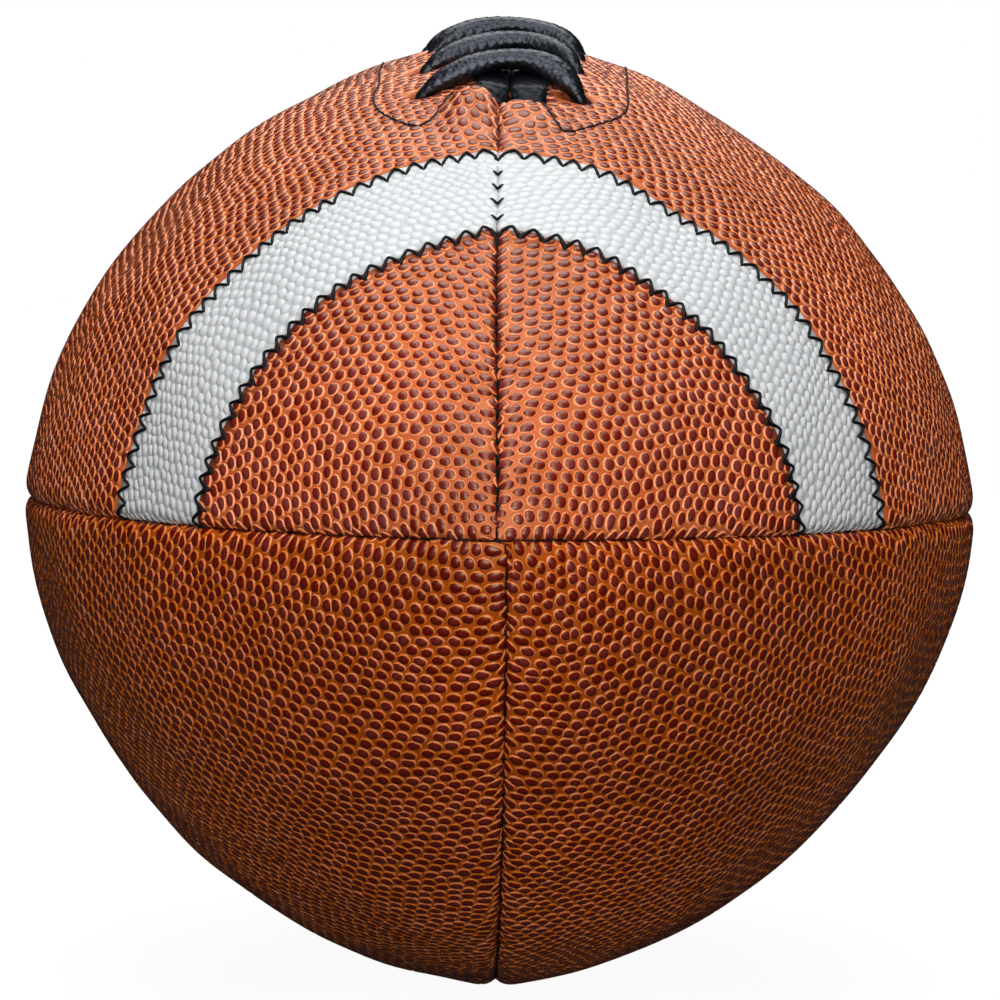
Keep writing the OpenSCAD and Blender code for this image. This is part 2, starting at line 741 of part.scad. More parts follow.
module facing_thread_left() {
    mirror([1, 0, 0]) facing_thread_right();
}

panel_lace_left();
panel_lace_right();
panel_back_left();
panel_back_right();
stripe(true, false);  // stripe_front_left
stripe(false, false);  // stripe_front_right
stripe(true, true);  // stripe_rear_left
stripe(false, true);  // stripe_rear_right
lining_lace_left();
lining_lace_right();
lining_back_left();
lining_back_right();
facing_left();
facing_right();
lace_tongue();
lace();
bladder();
valve_boot();
valve_core();
seam_thread_top();
seam_thread(180);  // seam_thread_left
seam_thread(0);  // seam_thread_right
seam_thread(-90);  // seam_thread_bottom
stripe_thread(true, false);  // stripe_thread_front_left
stripe_thread(false, false);  // stripe_thread_front_right
stripe_thread(true, true);  // stripe_thread_rear_left
stripe_thread(false, true);  // stripe_thread_rear_right
facing_thread_left();
facing_thread_right();
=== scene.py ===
"""American football: pebbled leather panels, sewn stripes, lacing and threads round a rubber bladder."""
import itertools
import math

import bpy
import numpy as np
from mathutils import Matrix, Vector


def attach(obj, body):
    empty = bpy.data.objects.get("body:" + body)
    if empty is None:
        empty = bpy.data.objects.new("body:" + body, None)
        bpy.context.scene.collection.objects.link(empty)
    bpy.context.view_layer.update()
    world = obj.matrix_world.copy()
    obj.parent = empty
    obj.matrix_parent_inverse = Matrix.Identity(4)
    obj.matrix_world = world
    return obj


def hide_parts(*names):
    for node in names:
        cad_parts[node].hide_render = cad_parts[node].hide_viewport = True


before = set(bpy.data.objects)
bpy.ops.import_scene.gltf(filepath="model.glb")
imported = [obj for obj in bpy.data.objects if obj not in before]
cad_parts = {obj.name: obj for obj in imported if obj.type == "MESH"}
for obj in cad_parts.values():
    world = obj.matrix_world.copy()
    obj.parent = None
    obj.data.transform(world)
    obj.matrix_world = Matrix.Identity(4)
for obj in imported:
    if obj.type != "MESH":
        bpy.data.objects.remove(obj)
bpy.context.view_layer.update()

bl_info = {
    "name": "American football",
    "version": (1, 0, 0),
    "blender": (4, 5, 0),
    "location": "View3D > Sidebar > Football",
    "description": "Builds the leather, stripes, lacing and threads of a laced ball",
    "category": "Object",
}

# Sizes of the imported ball, in millimetres
MM = 0.001
HALF_LENGTH = 141.5
SEAM_RADIUS = 87.0
MIDDLE_SHARE = 0.955
ROUND_SHARE = 0.35
LEATHER_T = 2.1
HALF_GAP = 0.15
EDGE_W = 3.4
EDGE_W_SHARE = 0.25
GROOVE = 1.8
PACKED_EDGE_W = 3.0
PACKED_GROOVE = 1.6
GROOVE_SHARE = 0.14
FLANGE_T = 1.6
FLANGE_DEPTH = 5.0
SEAT_GAP = 0.3
STRIPE_NEAR = 107.5
STRIPE_W = 25.4
STRIPE_T = 0.8
RECESS_WALL = 0.2
LACE_COUNT = 8
LACE_PITCH = 16.5
LACE_SPAN = 28.6
LACE_W = 5.4
LACE_T = 2.2
HOLE_D = 5.6
VALVE_ANGLE = 10.0
VALVE_HOLE_D = 6.0
FACING_W = 24.5
FACING_BOTTOM = 4.8
FACING_TOP = 3.6

ARC_R = (HALF_LENGTH ** 2 + SEAM_RADIUS ** 2) / (2 * SEAM_RADIUS)
SAG = MIDDLE_SHARE - math.sqrt(0.5)
ARC = (0.5 + SAG * SAG) / (2 * SAG)
CENTRE = ARC - MIDDLE_SHARE
LEAN = CENTRE / (ARC * math.sqrt(2))
RIGHT_LACE = math.radians(45)
RIGHT_BACK = math.radians(-45)
ENDS = ("front", "rear")
SIDES = ("left", "right")


# The ball's surface
def seam_height(y):
    """Distance from the long axis to a seam: an ellipse mixed with an arc."""
    return (ROUND_SHARE * SEAM_RADIUS * np.sqrt(np.maximum(1 - (y / HALF_LENGTH) ** 2, 0))
            + (1 - ROUND_SHARE) * (np.sqrt(ARC_R ** 2 - y * y) - ARC_R + SEAM_RADIUS))


def seam_slope(y):
    """How fast that distance grows along the ball."""
    return (-ROUND_SHARE * SEAM_RADIUS * y
            / (HALF_LENGTH ** 2 * np.sqrt(np.maximum(1 - (y / HALF_LENGTH) ** 2, 1e-6)))
            - (1 - ROUND_SHARE) * y / np.sqrt(ARC_R ** 2 - y * y))


def arc_angle(e, height):
    """Angle from a panel's middle of the point that lies e from the plane of the seam."""
    return np.arccos((e * math.sqrt(2) / height + CENTRE) / (ARC * math.sqrt(2))) - math.pi / 4


def eased(s):
    c = np.clip(s, 0, 1)
    return c * c * (3 - 2 * c)


def grows(v, start, end):
    """From 0 at the start to 1 at the end, eased at both."""
    return eased((v - start) / (end - start))


LACE_ROW = (LACE_COUNT - 1) / 2 * LACE_PITCH
EYE_Y = LACE_ROW + 11
EYE_LONG = LACE_T / 2 + 0.5
STRAND_X = LACE_W / 2 + 0.3
EYE_WIDE = STRAND_X + LACE_W / 2 + 0.5
EYE_EASE = 2.5
SLOT_END = EYE_Y + EYE_LONG + EYE_EASE
SLOT_START = SLOT_END + EYE_EASE
SLOT_HALF = 1.5


def opening_half(y):
    """Half the width of the laced opening, with a wider eye at each end."""
    y = np.abs(y)
    in_slot = grows(y, SLOT_END, SLOT_END - EYE_EASE)
    in_eye = eased((EYE_LONG + EYE_EASE - np.abs(y - EYE_Y)) / EYE_EASE)
    return HALF_GAP + (SLOT_HALF - HALF_GAP) * in_slot + (EYE_WIDE - SLOT_HALF) * in_eye


STRIPE_SLOPE = float(seam_slope(STRIPE_NEAR - 0.4 * STRIPE_W))
STRIPE_FAR = STRIPE_NEAR - STRIPE_W / math.sqrt(1 + STRIPE_SLOPE ** 2)
STRIPE_MIDDLE = (STRIPE_NEAR + STRIPE_FAR) / 2
TIGHT_GAP = 0.01
LOWER_GAP = 0.3
TIGHT_EASE = 1.5
# Where the lower gap opens: places along the ball
LOWER_OPENS = (132.0, 92.0)
# Shares that the rounded edge loses in width and depth where a stripe's halves meet, and towards the noses
TIGHT_SHARES = (0.4, 0.65)
CRISP_SHARES = (0.32, 0.2)
CRISP = (68.0, 106.0)
EDGE_ROLL = 1.232


def surface(y, beta, depth):
    """Places and normals of the nominal surface in a panel's frame: outwards, across, along."""
    height = seam_height(y)
    climb = seam_slope(y) * (ARC - CENTRE * np.cos(beta))
    normal = np.stack([np.cos(beta), np.sin(beta), -climb], -1) / np.sqrt(1 + climb ** 2)[..., None]
    at = np.stack([(ARC * np.cos(beta) - CENTRE) * height, ARC * np.sin(beta) * height,
                   y + 0 * beta], -1)
    return at - np.asarray(depth)[..., None] * normal, normal


def edge_place(y, side, e, depth):
    """Place in a panel's frame that lies e from the plane of one of its seams, at a depth."""
    return surface(y, side * arc_angle(e + depth * LEAN, seam_height(y)), depth + 0 * y)[0]


def rounding(y):
    """Width and depth of the rounding beside a seam: full in the ball's middle, crisp towards its noses."""
    crisp = grows(np.abs(y), *CRISP)
    height = seam_height(y)
    return (np.minimum(EDGE_W, EDGE_W_SHARE * height) * (1 - CRISP_SHARES[0] * crisp),
            np.minimum(GROOVE, GROOVE_SHARE * height) * (1 - CRISP_SHARES[1] * crisp))


def edge_sizes(y, c, laced):
    """Width and depth of the rounded edge, gap to the seam, and where the flat of the panel ends."""
    height = seam_height(y)
    width, groove = rounding(y)
    beside = (STRIPE_NEAR - STRIPE_FAR + TIGHT_EASE) / 2 - np.abs(np.abs(y) - STRIPE_MIDDLE)
    tight = eased(beside / TIGHT_EASE) * ((c > 0) & laced)
    width = width * (1 - TIGHT_SHARES[0] * tight)
    groove = groove * (1 - TIGHT_SHARES[1] * tight)
    lower_gap = HALF_GAP + (LOWER_GAP - HALF_GAP) * grows(np.abs(y), *LOWER_OPENS)
    gap = np.where(laced, np.where(c > 0, opening_half(y), HALF_GAP), np.where(c > 0, HALF_GAP, lower_gap))
    gap = gap + (TIGHT_GAP - HALF_GAP) * tight
    return height, width, groove, gap, ARC * height * arc_angle(gap + width, height)


def reach(y, side, laced):
    """Distance across the leather from the middle of a panel to its seam."""
    _, width, _, _, flat = edge_sizes(y, side + 0 * y, laced)
    return flat + width * EDGE_ROLL


def leather(y, c, laced):
    """Places and normals of the cover by distance along the axis and distance across the leather."""
    height, width, groove, gap, flat = edge_sizes(y, c, laced)
    side = np.where(c < 0, -1.0, 1.0)
    over = np.clip((np.abs(c) - flat) / (width * EDGE_ROLL), 0, 1)
    turn = (1 - over) * math.pi / 2
    depth = groove * (1 - np.sin(turn))
    e = gap + width * (1 - np.cos(turn))
    beta = side * np.where(over > 0, arc_angle(e + depth * LEAN, height),
                           np.minimum(np.abs(c), flat) / (ARC * height))
    at, normal = surface(y, beta, depth)
    across = np.stack([-np.sin(beta), np.cos(beta), 0 * beta], -1) * side[..., None]
    normal = normal * (width * np.sin(turn))[..., None] + across * (groove * np.cos(turn))[..., None]
    return at, normal / np.linalg.norm(normal, axis=-1)[..., None]


def to_ball(p, angle, left=False, rear=False):
    """From a panel's frame to the ball's own frame, mirrored for a left or rear piece."""
    x = p[..., 0] * math.cos(angle) - p[..., 1] * math.sin(angle)
    z = p[..., 0] * math.sin(angle) + p[..., 1] * math.cos(angle)
    return np.stack([-x if left else x, -p[..., 2] if rear else p[..., 2], z], -1)


def rest_height():
    """Height of the ball's middle above the floor, on the rounded edges of the lowest seam."""
    reaches = []
    for turn in (0.0, math.pi / 4, math.pi / 2):
        e = HALF_GAP + PACKED_EDGE_W * (1 - math.cos(turn))
        p = edge_place(np.array(0.0), 1, e, PACKED_GROOVE * (1 - math.sin(turn)))
        reaches.append(float(p[0] + p[1]) * math.sqrt(0.5))
    return max(reaches)


REST = rest_height()
Y_TABLE = -HALF_LENGTH * np.cos(np.radians(np.linspace(0.9, 179.1, 4001)))
TABLE_CLIMB = MIDDLE_SHARE * seam_slope((Y_TABLE[1:] + Y_TABLE[:-1]) / 2)
S_TABLE = np.concatenate([[0], np.cumsum(np.diff(Y_TABLE) * np.sqrt(1 + TABLE_CLIMB ** 2))])
S_TABLE -= S_TABLE[-1] / 2


def y_at(s):
    """Place along the axis from the distance along a panel's middle."""
    return np.interp(s, S_TABLE, Y_TABLE)


def s_at(y):
    """Distance along a panel's middle from the place along the axis."""
    return np.interp(y, Y_TABLE, S_TABLE)


# Shapes of the blown-up ball that aren't true, in millimetres unless said
# Slight waves of the leather: height, direction and phase
RELIEF_WAVES = [(0.24, (0.13, 0.09, 0.05), 0.4), (0.16, (-0.07, 0.16, 0.12), 1.9),
                (0.14, (0.1, -0.13, 0.17), 3.1), (0.1, (0.26, 0.11, -0.2), 5.2)]
# Bulges of the leather round the ends of the laced opening, and the dip before each: place across and
# along, height, width, and length to each side
LIPS = [(-4.9, -72.6, 3.5, 4.4, 7.0, 4.2), (4.7, -73.2, 1.4, 4.8, 6.0, 3.6),
        (5.0, 73.4, 2.2, 4.6, 6.0, 3.0), (-5.2, 73.6, 1.8, 4.8, 6.0, 3.0),
        (-0.5, -83.0, -1.6, 12.0, 13.0, 6.5), (0.5, 83.0, -1.2, 12.0, 13.0, 6.5)]
# How far the cross-section stands off the nominal one: angle about the long axis, height, width in degrees
FORM = [(60, -1.3, 13), (17, 0.8, 14), (-10, 0.8, 12), (-48, -0.5, 10), (-106, 0.7, 10), (-164, 0.8, 12),
        (150, 0.8, 10)]
# Rise of the left and the right side seam, its fade away from the seam, and its growth with the radius
SIDE_RISE = (1.9, 1.25)
SIDE_FADE = 0.42
SIDE_GROWTH = 3.5
# Sideways bow of the bottom and the top seam: its least and its gain, the fade away from the seam, where
# along the ball it gains and where it begins
BOTTOM_BOW = (0.5, 0.9)
BOTTOM_FADE = 0.62
BOTTOM_GAINS = (-20, -130)
BOTTOM_BEGINS = (40, -20)
TOP_BOW = (0.2, 0.6)
TOP_FADE = 7.0
TOP_GAINS = (-140, -115)
TOP_BEGINS = (-48, -66)
# Distances from the long axis over which the waves and the form grow to their full height
WAVES_GROW = (8, 38)
FORM_GROWS = (20, 80)
FLOOR_GAP = 0.03


def hand_made(points):
    """Moves the seams a little off true and gives the leather its slight unevenness, as on the real ball."""
    p = np.asarray(points, float)
    x, y, z = p[..., 0], p[..., 1], p[..., 2]
    r = np.maximum(np.hypot(x, z), 1e-6)
    rise = np.exp(-(z / r / SIDE_FADE) ** 2) * (r / SEAM_RADIUS) ** SIDE_GROWTH * np.where(x < 0, *SIDE_RISE)
    below = np.exp(-(np.arctan2(x, -z) / BOTTOM_FADE) ** 2)
    above = np.exp(-(x / TOP_FADE) ** 2) * (z > 0)
    shift = below * (BOTTOM_BOW[0] + BOTTOM_BOW[1] * grows(y, *BOTTOM_GAINS)) * grows(y, *BOTTOM_BEGINS)
    shift = shift - above * (TOP_BOW[0] + TOP_BOW[1] * grows(y, *TOP_GAINS)) * grows(y, *TOP_BEGINS)
    uneven = sum(size * np.sin(x * k[0] + y * k[1] + z * k[2] + phase) for size, k, phase in RELIEF_WAVES)
    uneven = uneven * grows(r, *WAVES_GROW)
    turn = np.degrees(np.arctan2(z, x))
    for angle, height, wide in FORM:
        off = (turn - angle + 180) % 360 - 180
        uneven = uneven + height * np.exp(-(off / wide) ** 2) * grows(r, *FORM_GROWS)
    for middle_x, middle_y, height, wide, outer, inner in LIPS:
        long = np.where(np.abs(y) > abs(middle_y), outer, inner)
        bulge = height * np.exp(-np.abs((x - middle_x) / wide) ** 3 - ((y - middle_y) / long) ** 2)
        rise = rise + bulge * (z > 0)
    above_floor = np.maximum(z + rise + uneven * z / r, FLOOR_GAP - REST)
    return np.stack([x + shift + uneven * x / r, y, above_floor], -1)


def raised(points):
    """Ball frame in millimetres to the row frame in metres."""
    return (hand_made(points) + [0, 0, REST]) * MM


# Meshes
def unit(vectors):
    """Vectors brought to a length of 1."""
    return vectors / np.linalg.norm(vectors, axis=-1, keepdims=True)


def select(*pieces):
    """Selects only these pieces and makes the first one active."""
    bpy.ops.object.select_all(action="DESELECT")
    for piece in pieces:
        piece.select_set(True)
    if pieces:
        bpy.context.view_layer.objects.active = pieces[0]


def sheet_grid(name, loops):
    """A closed sheet from its loops in the ball's frame: a grid primitive whose last column meets the first,
    folded shut at each end."""
    loops = np.asarray(loops)
    folded = (loops[[0, -1]] + loops[[0, -1]][:, ::-1]) / 2
    table = np.concatenate([folded[:1], loops, folded[1:]])
    table = np.concatenate([table, table[:, :1]], axis=1)
    rows, columns = table.shape[:2]
    select()
    bpy.ops.mesh.primitive_grid_add(x_subdivisions=columns - 1, y_subdivisions=rows - 1, size=1)
    piece = bpy.context.object
    piece.name = piece.data.name = name
    flat = np.empty(len(piece.data.vertices) * 3)
    piece.data.vertices.foreach_get("co", flat)
    column, row = (np.round((flat[k::3] + 0.5) * (count - 1)).astype(int)
                   for k, count in enumerate((columns, rows)))
    piece.data.vertices.foreach_set("co", raised(table[row, column]).ravel())
    piece.data.update()
    bpy.ops.object.mode_set(mode="EDIT")
    bpy.ops.mesh.select_all(action="SELECT")
    bpy.ops.mesh.remove_doubles(threshold=1e-6)
    bpy.ops.mesh.normals_make_consistent(inside=False)
    bpy.ops.object.mode_set(mode="OBJECT")
    return piece


def set_values(mesh, values):
    """Writes lists of numbers on a mesh, one number for each place, for its material to read."""
    for label, numbers in values.items():
        layer = mesh.attributes.new(label, "FLOAT", "POINT")
        layer.data.foreach_set("value", np.asarray(numbers, np.float32))


def raw_piece(name, points, faces, **values):
    """A piece from places in the ball's frame, a list of face arrays, and numbers for each place."""
    mesh = bpy.data.meshes.new(name)
    counts = np.concatenate([np.full(len(f), f.shape[1]) for f in faces])
    corners = np.concatenate([f.ravel() for f in faces])
    mesh.vertices.add(len(points))
    mesh.vertices.foreach_set("co", raised(points).ravel())
    mesh.loops.add(len(corners))
    mesh.loops.foreach_set("vertex_index", corners.astype(np.int32))
    mesh.polygons.add(len(counts))
    mesh.polygons.foreach_set("loop_start", (np.cumsum(counts) - counts).astype(np.int32))
    mesh.polygons.foreach_set("loop_total", counts.astype(np.int32))
    mesh.update(calc_edges=True)
    mesh.validate()
    set_values(mesh, values)
    piece = bpy.data.objects.new(name, mesh)
    bpy.context.scene.collection.objects.link(piece)
    return piece


def joined(name, pieces):
    """Several objects as one."""
    select(*pieces)
    if len(pieces) > 1:
        bpy.ops.object.join()
    piece = bpy.context.object
    piece.name = piece.data.name = name
    return piece


def finished(piece, material, node):
    """Gives a piece its finish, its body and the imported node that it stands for."""
    piece.data.materials.clear()
    piece.data.materials.append(material)
    piece.data.shade_smooth()
    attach(piece, "root")
    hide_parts(node)


def ring_faces(rings):
    """Places and faces of a run of rings, with a middle point at each end."""
    count, sides = rings.shape[:2]
    at = np.concatenate([rings.reshape(-1, 3), rings[[0, -1]].mean(1)])
    i = np.arange(count - 1)[:, None] * sides
    j = np.arange(sides)
    k = (j + 1) % sides
    quads = np.stack([i + j, i + k, i + k + sides, i + j + sides], -1).reshape(-1, 4)
    last = (count - 1) * sides
    first_end, last_end = (np.full(sides, count * sides + n) for n in (0, 1))
    return at, [quads, np.stack([k, j, first_end], -1), np.stack([last + j, last + k, last_end], -1)]


def tube(stops, ups, radius, sides=6):
    """Places and faces of a round thread through a list of places."""
    stops = np.asarray(stops, float)
    run = unit(np.gradient(stops, axis=0))
    across = unit(np.cross(run, ups))
    up = np.cross(across, run)
    turn = np.arange(sides) * 2 * math.pi / sides
    radius = np.broadcast_to(radius, (len(stops),))
    return ring_faces(stops[:, None] + radius[:, None, None] * (
        across[:, None] * np.cos(turn)[None, :, None] + up[:, None] * np.sin(turn)[None, :, None]))


def turned_over(faces, mirrored):
    """Faces with their corners in the other order where a piece is mirrored, so that they still point out."""
    return [f[:, ::-1] for f in faces] if mirrored else faces


def thread_piece(name, material, parts, node):
    """One piece from several (places, faces) sets."""
    points, quads, tris, start = [], [], [], 0
    for at, faces in parts:
        points.append(at)
        for f in faces:
            (quads if f.shape[1] == 4 else tris).append(f + start)
        start += len(at)
    piece = raw_piece(name, np.concatenate(points), [np.concatenate(f) for f in (quads, tris)])
    finished(piece, material, node)


# Grain: raised pebbles, in millimetres, and shares of the pebbles' spacing unless said
PEBBLE_SIDES = 9
# Half the width of the lattice, and the rows to spare
LATTICE_HALF = 214.6
LATTICE_SPARE = 6
NEIGHBOURS = ((1, 0), (0, 1), (-1, 1), (-1, 0), (0, -1), (1, -1))
# Slow swirls of the rows: their number, wave lengths, and height as shares of the wave
SWIRL_COUNT = 7
SWIRL_WAVES = (14, 46)
SWIRL_SHARES = (0.02, 0.55)
# Unevenness of the pebbles: jitter and its limit, size and its limits, and the most stretch
JITTER_SHARES = (0.105, 0.26)
SIZE_SPREAD = (0.09, 0.78, 1.2)
MOST_STRETCH = 1.28
# How far a pebble's middle may lie past a panel's edge, and how far it keeps from the noses
EDGE_CUT_SHARE = 0.22
NOSE_CLEAR = 0.3
NOSE_LIMIT = 0.05
# A pebble's outline: how squarely its cell is cut, the cell's part in it, and the slope of its side
CELL_POWER = 6
CELL_SHARE = 0.45
LEAST_FACING = 0.15
FAR_OFF = 1e3
SIDE_SLOPE = 0.75
# How far a pebble's rim and middle stay inside the panel's edge, how deep its foot goes, and its crown
RIM_PULL = 0.12
TOP_PULL = 0.35
FOOT_DEPTH = 0.06
CROWN = 1.03
RIM_TONE = 0.6


def pebbles(seed, spacing, laced, tilt, keep, turn_ends, base_share, rim_share, lift):
    """Raised pebbles on a jittered hexagonal lattice laid over the flat leather of one panel.

    keep says which pebbles are made, and turn_ends holds their places on the right side of an edge.
    Returns places in the panel's frame, faces, and a tone and a shade for each place. The tone is 0 in the
    valley, 0.6 at the rim of a pebble's top and 1 in its middle."""
    rng = np.random.default_rng(seed)
    span = int(LATTICE_HALF / spacing) + LATTICE_SPARE
    i, j = np.meshgrid(np.arange(-span, span + 1), np.arange(-span, span + 1), indexing="ij")
    step_a, step_b = (spacing * np.array([math.cos(way), math.sin(way)])
                      for way in (tilt, tilt + math.pi / 3))
    flat = i[..., None] * step_a + j[..., None] * step_b
    swirl = np.zeros_like(flat)
    for _ in range(SWIRL_COUNT):
        wave = rng.uniform(*SWIRL_WAVES)
        heading, phase, push = (rng.uniform(0, 2 * math.pi) for _ in range(3))
        along = (flat[..., 0] * math.cos(heading) + flat[..., 1] * math.sin(heading)) * 2 * math.pi / wave
        sway = SWIRL_SHARES[0] * wave * np.sin(along + phase)[..., None]
        swirl += sway * np.array([math.cos(push), math.sin(push)]) * SWIRL_SHARES[1]
    spread, most = (share * spacing for share in JITTER_SHARES)
    at = flat + swirl + rng.normal(0, spread, flat.shape).clip(-most, most)
    size_of = rng.normal(1, SIZE_SPREAD[0], i.shape).clip(*SIZE_SPREAD[1:])
    stretch = rng.uniform(1.0, MOST_STRETCH, i.shape)
    stretch_to = rng.uniform(0, math.pi, i.shape)
    shade = rng.uniform(0, 1, i.shape)

    inner = (slice(1, -1), slice(1, -1))
    seeds = at[inner].reshape(-1, 2)
    near = np.stack([np.roll(at, (-a, -b), (0, 1))[inner].reshape(-1, 2) - seeds for a, b in NEIGHBOURS], 1)
    y = y_at(seeds[:, 0])
    cut = EDGE_CUT_SHARE * spacing
    inside = ((np.abs(seeds[:, 0]) < S_TABLE[-1] - NOSE_CLEAR)
              & (seeds[:, 1] < reach(y, 1, laced) + cut) & (seeds[:, 1] > -reach(y, -1, laced) - cut))
    inside &= keep(seeds)
    size_of, stretch, stretch_to, shade = (
        v[inner].ravel()[inside] for v in (size_of, stretch, stretch_to, shade))
    seeds, near, y = seeds[inside], near[inside], y[inside]

    turn = np.arange(PEBBLE_SIDES) * 2 * math.pi / PEBBLE_SIDES + rng.uniform(0, 1, len(seeds))[:, None]
    ray = np.stack([np.cos(turn), np.sin(turn)], -1)
    half = np.linalg.norm(near, axis=-1) / 2
    facing = np.einsum("nkd,njd->nkj", ray, near) / (2 * half[:, None])
    room = np.where(facing > LEAST_FACING, half[:, None] / np.maximum(facing, LEAST_FACING), FAR_OFF)
    cell = (room ** -CELL_POWER).sum(-1) ** (-1 / CELL_POWER)
    oval = spacing / 2 * size_of[:, None] / np.sqrt(
        (np.cos(turn - stretch_to[:, None]) / np.sqrt(stretch[:, None])) ** 2
        + (np.sin(turn - stretch_to[:, None]) * np.sqrt(stretch[:, None])) ** 2)
    rim = np.minimum(CELL_SHARE * cell + (1 - CELL_SHARE) * oval, cell) * rim_share
    foot = np.minimum(cell * base_share, rim + (base_share - rim_share) * spacing * SIDE_SLOPE)
    rings = []
    for radius, height, pull in ((foot, -FOOT_DEPTH, 0.0), (rim, lift, RIM_PULL)):
        spots = seeds[:, None] + ray * radius[..., None]
        s = np.clip(turn_ends(spots[..., 0], seeds[:, :1]), S_TABLE[0] + NOSE_LIMIT, S_TABLE[-1] - NOSE_LIMIT)
        at_y = y_at(s)
        c = np.clip(spots[..., 1], -reach(at_y, -1, laced) + pull, reach(at_y, 1, laced) - pull)
        place, normal = leather(at_y, c, laced)
        rings.append(place + normal * height)
    centre = np.clip(seeds[:, 1], -reach(y, -1, laced) + TOP_PULL, reach(y, 1, laced) - TOP_PULL)
    place, normal = leather(y, centre, laced)
    points = np.concatenate([*rings, (place + normal * (lift * CROWN))[:, None]], 1)

    tone = np.tile([0.0] * PEBBLE_SIDES + [RIM_TONE] * PEBBLE_SIDES + [1.0], len(seeds))
    each = 2 * PEBBLE_SIDES + 1
    first = (np.arange(len(seeds)) * each)[:, None]
    k = np.arange(PEBBLE_SIDES)[None]
    m = (k + 1) % PEBBLE_SIDES
    quads = [first + k, first + m, first + m + PEBBLE_SIDES, first + k + PEBBLE_SIDES]
    tris = [quads[3], quads[2], first + 2 * PEBBLE_SIDES + 0 * k]
    faces = [np.stack(quads, -1).reshape(-1, 4), np.stack(tris, -1).reshape(-1, 3)]
    return points.reshape(-1, 3), faces, tone, np.repeat(shade, each)


# Colours and materials
def linear(code):
    """A hex colour as linear red, green and blue."""
    values = [int(code[i:i + 2], 16) / 255 for i in (1, 3, 5)]
    return tuple(v / 12.92 if v <= 0.04045 else ((v + 0.055) / 1.055) ** 2.4 for v in values)


class FootballColours(bpy.types.PropertyGroup):
    tan: bpy.props.FloatVectorProperty(
        name="Tan leather", description="Colour of the leather between its pebbles",
        default=linear("#F28F51"), subtype="COLOR", min=0, max=1)
    stain: bpy.props.FloatVectorProperty(
        name="Stain", description="Colour of the stained tops of the pebbles",
        default=linear("#7C211B"), subtype="COLOR", min=0, max=1)
    white: bpy.props.FloatVectorProperty(
        name="White leather", description="Colour of the stripes' pebbles",
        default=linear("#DADCDE"), subtype="COLOR", min=0, max=1)
    lace: bpy.props.FloatVectorProperty(
        name="Lace", description="Colour of the lace at its lightest",
        default=linear("#12151A"), subtype="COLOR", min=0, max=1)
    thread: bpy.props.FloatVectorProperty(
        name="Thread", description="Colour of the sewing thread at its lightest",
        default=linear("#101216"), subtype="COLOR", min=0, max=1)


class FootballSizes(bpy.types.PropertyGroup):
    pebble_spacing: bpy.props.FloatProperty(
        name="Pebble spacing", description="Distance between two pebbles of the grain, in millimetres",
        default=2.38, min=1.5, max=4)
    pebble_height: bpy.props.FloatProperty(
        name="Pebble height", description="Height of a pebble above the valleys, in millimetres",
        default=0.3, min=0.1, max=0.5)
    white_spacing: bpy.props.FloatProperty(
        name="White pebble spacing", description="Distance between pebbles on a stripe, in millimetres",
        default=2.05, min=1.5, max=4)
    zigzag_pitch: bpy.props.FloatProperty(
        name="Zigzag pitch", description="Length of one zigzag along a stripe, in millimetres",
        default=3.3, min=2.5, max=5)
    seam_pitch: bpy.props.FloatProperty(
        name="Seam stitch", description="Distance between two stitches of a seam, in millimetres",
        default=2.8, min=2, max=6)


class FootballLook(bpy.types.PropertyGroup):
    key_light: bpy.props.FloatProperty(
        name="Key light", description="Power of the large lamp above the ball",
        default=19.2, min=0, unit="POWER")
    front_light: bpy.props.FloatProperty(
        name="Front light", description="Power of the lamp beside the camera",
        default=3.75, min=0, unit="POWER")
    fill_light: bpy.props.FloatProperty(
        name="Fill light", description="Strength of the even light from all round",
        default=0.06, min=0, max=1, subtype="FACTOR")


def add_node(tree, kind, inputs=(), stops=(), to=None, **settings):
    """Adds one node. Inputs are values, nodes or (node, output) by socket, stops a ramp's places and
    colours, settings the node's properties, and to is the (node, socket) that takes its first output."""
    made = tree.nodes.new("ShaderNode" + kind)
    for name, value in settings.items():
        setattr(made, name, value)
    for name, value in dict(inputs).items():
        node, output = value if type(value) is tuple and isinstance(value[0], bpy.types.Node) else (value, 0)
        if isinstance(node, bpy.types.Node):
            tree.links.new(node.outputs[output], made.inputs[name])
        else:
            made.inputs[name].default_value = value
    for k, (place, colour) in enumerate(stops):
        element = made.color_ramp.elements[k] if k < 2 else made.color_ramp.elements.new(place)
        element.position = place
        element.color = (*(linear(colour) if isinstance(colour, str) else colour), 1)
    if to:
        tree.links.new(made.outputs[0], to[0].inputs[to[1]])
    return made


def new_material(name, inputs):
    """A material with a Principled shader, and Object coordinates ready for its pattern."""
    material = bpy.data.materials.new(name)
    material.use_nodes = True
    tree = material.node_tree
    tree.nodes.clear()
    shader = add_node(tree, "BsdfPrincipled", inputs)
    add_node(tree, "OutputMaterial", {"Surface": shader})
    return material, tree, shader, (add_node(tree, "TexCoord"), "Object")


def grained_material(name, inputs, scale, detail, strength, distance=0.0002):
    """A material whose surface is roughened by a fine grain, which can also tint it."""
    material, tree, shader, where = new_material(name, inputs)
    grain = add_node(tree, "TexNoise", {"Scale": scale, "Detail": detail, "Vector": where})
    add_node(tree, "Bump", {"Strength": strength, "Distance": distance, "Height": grain},
             to=(shader, "Normal"))
    return material, tree, shader, where, grain


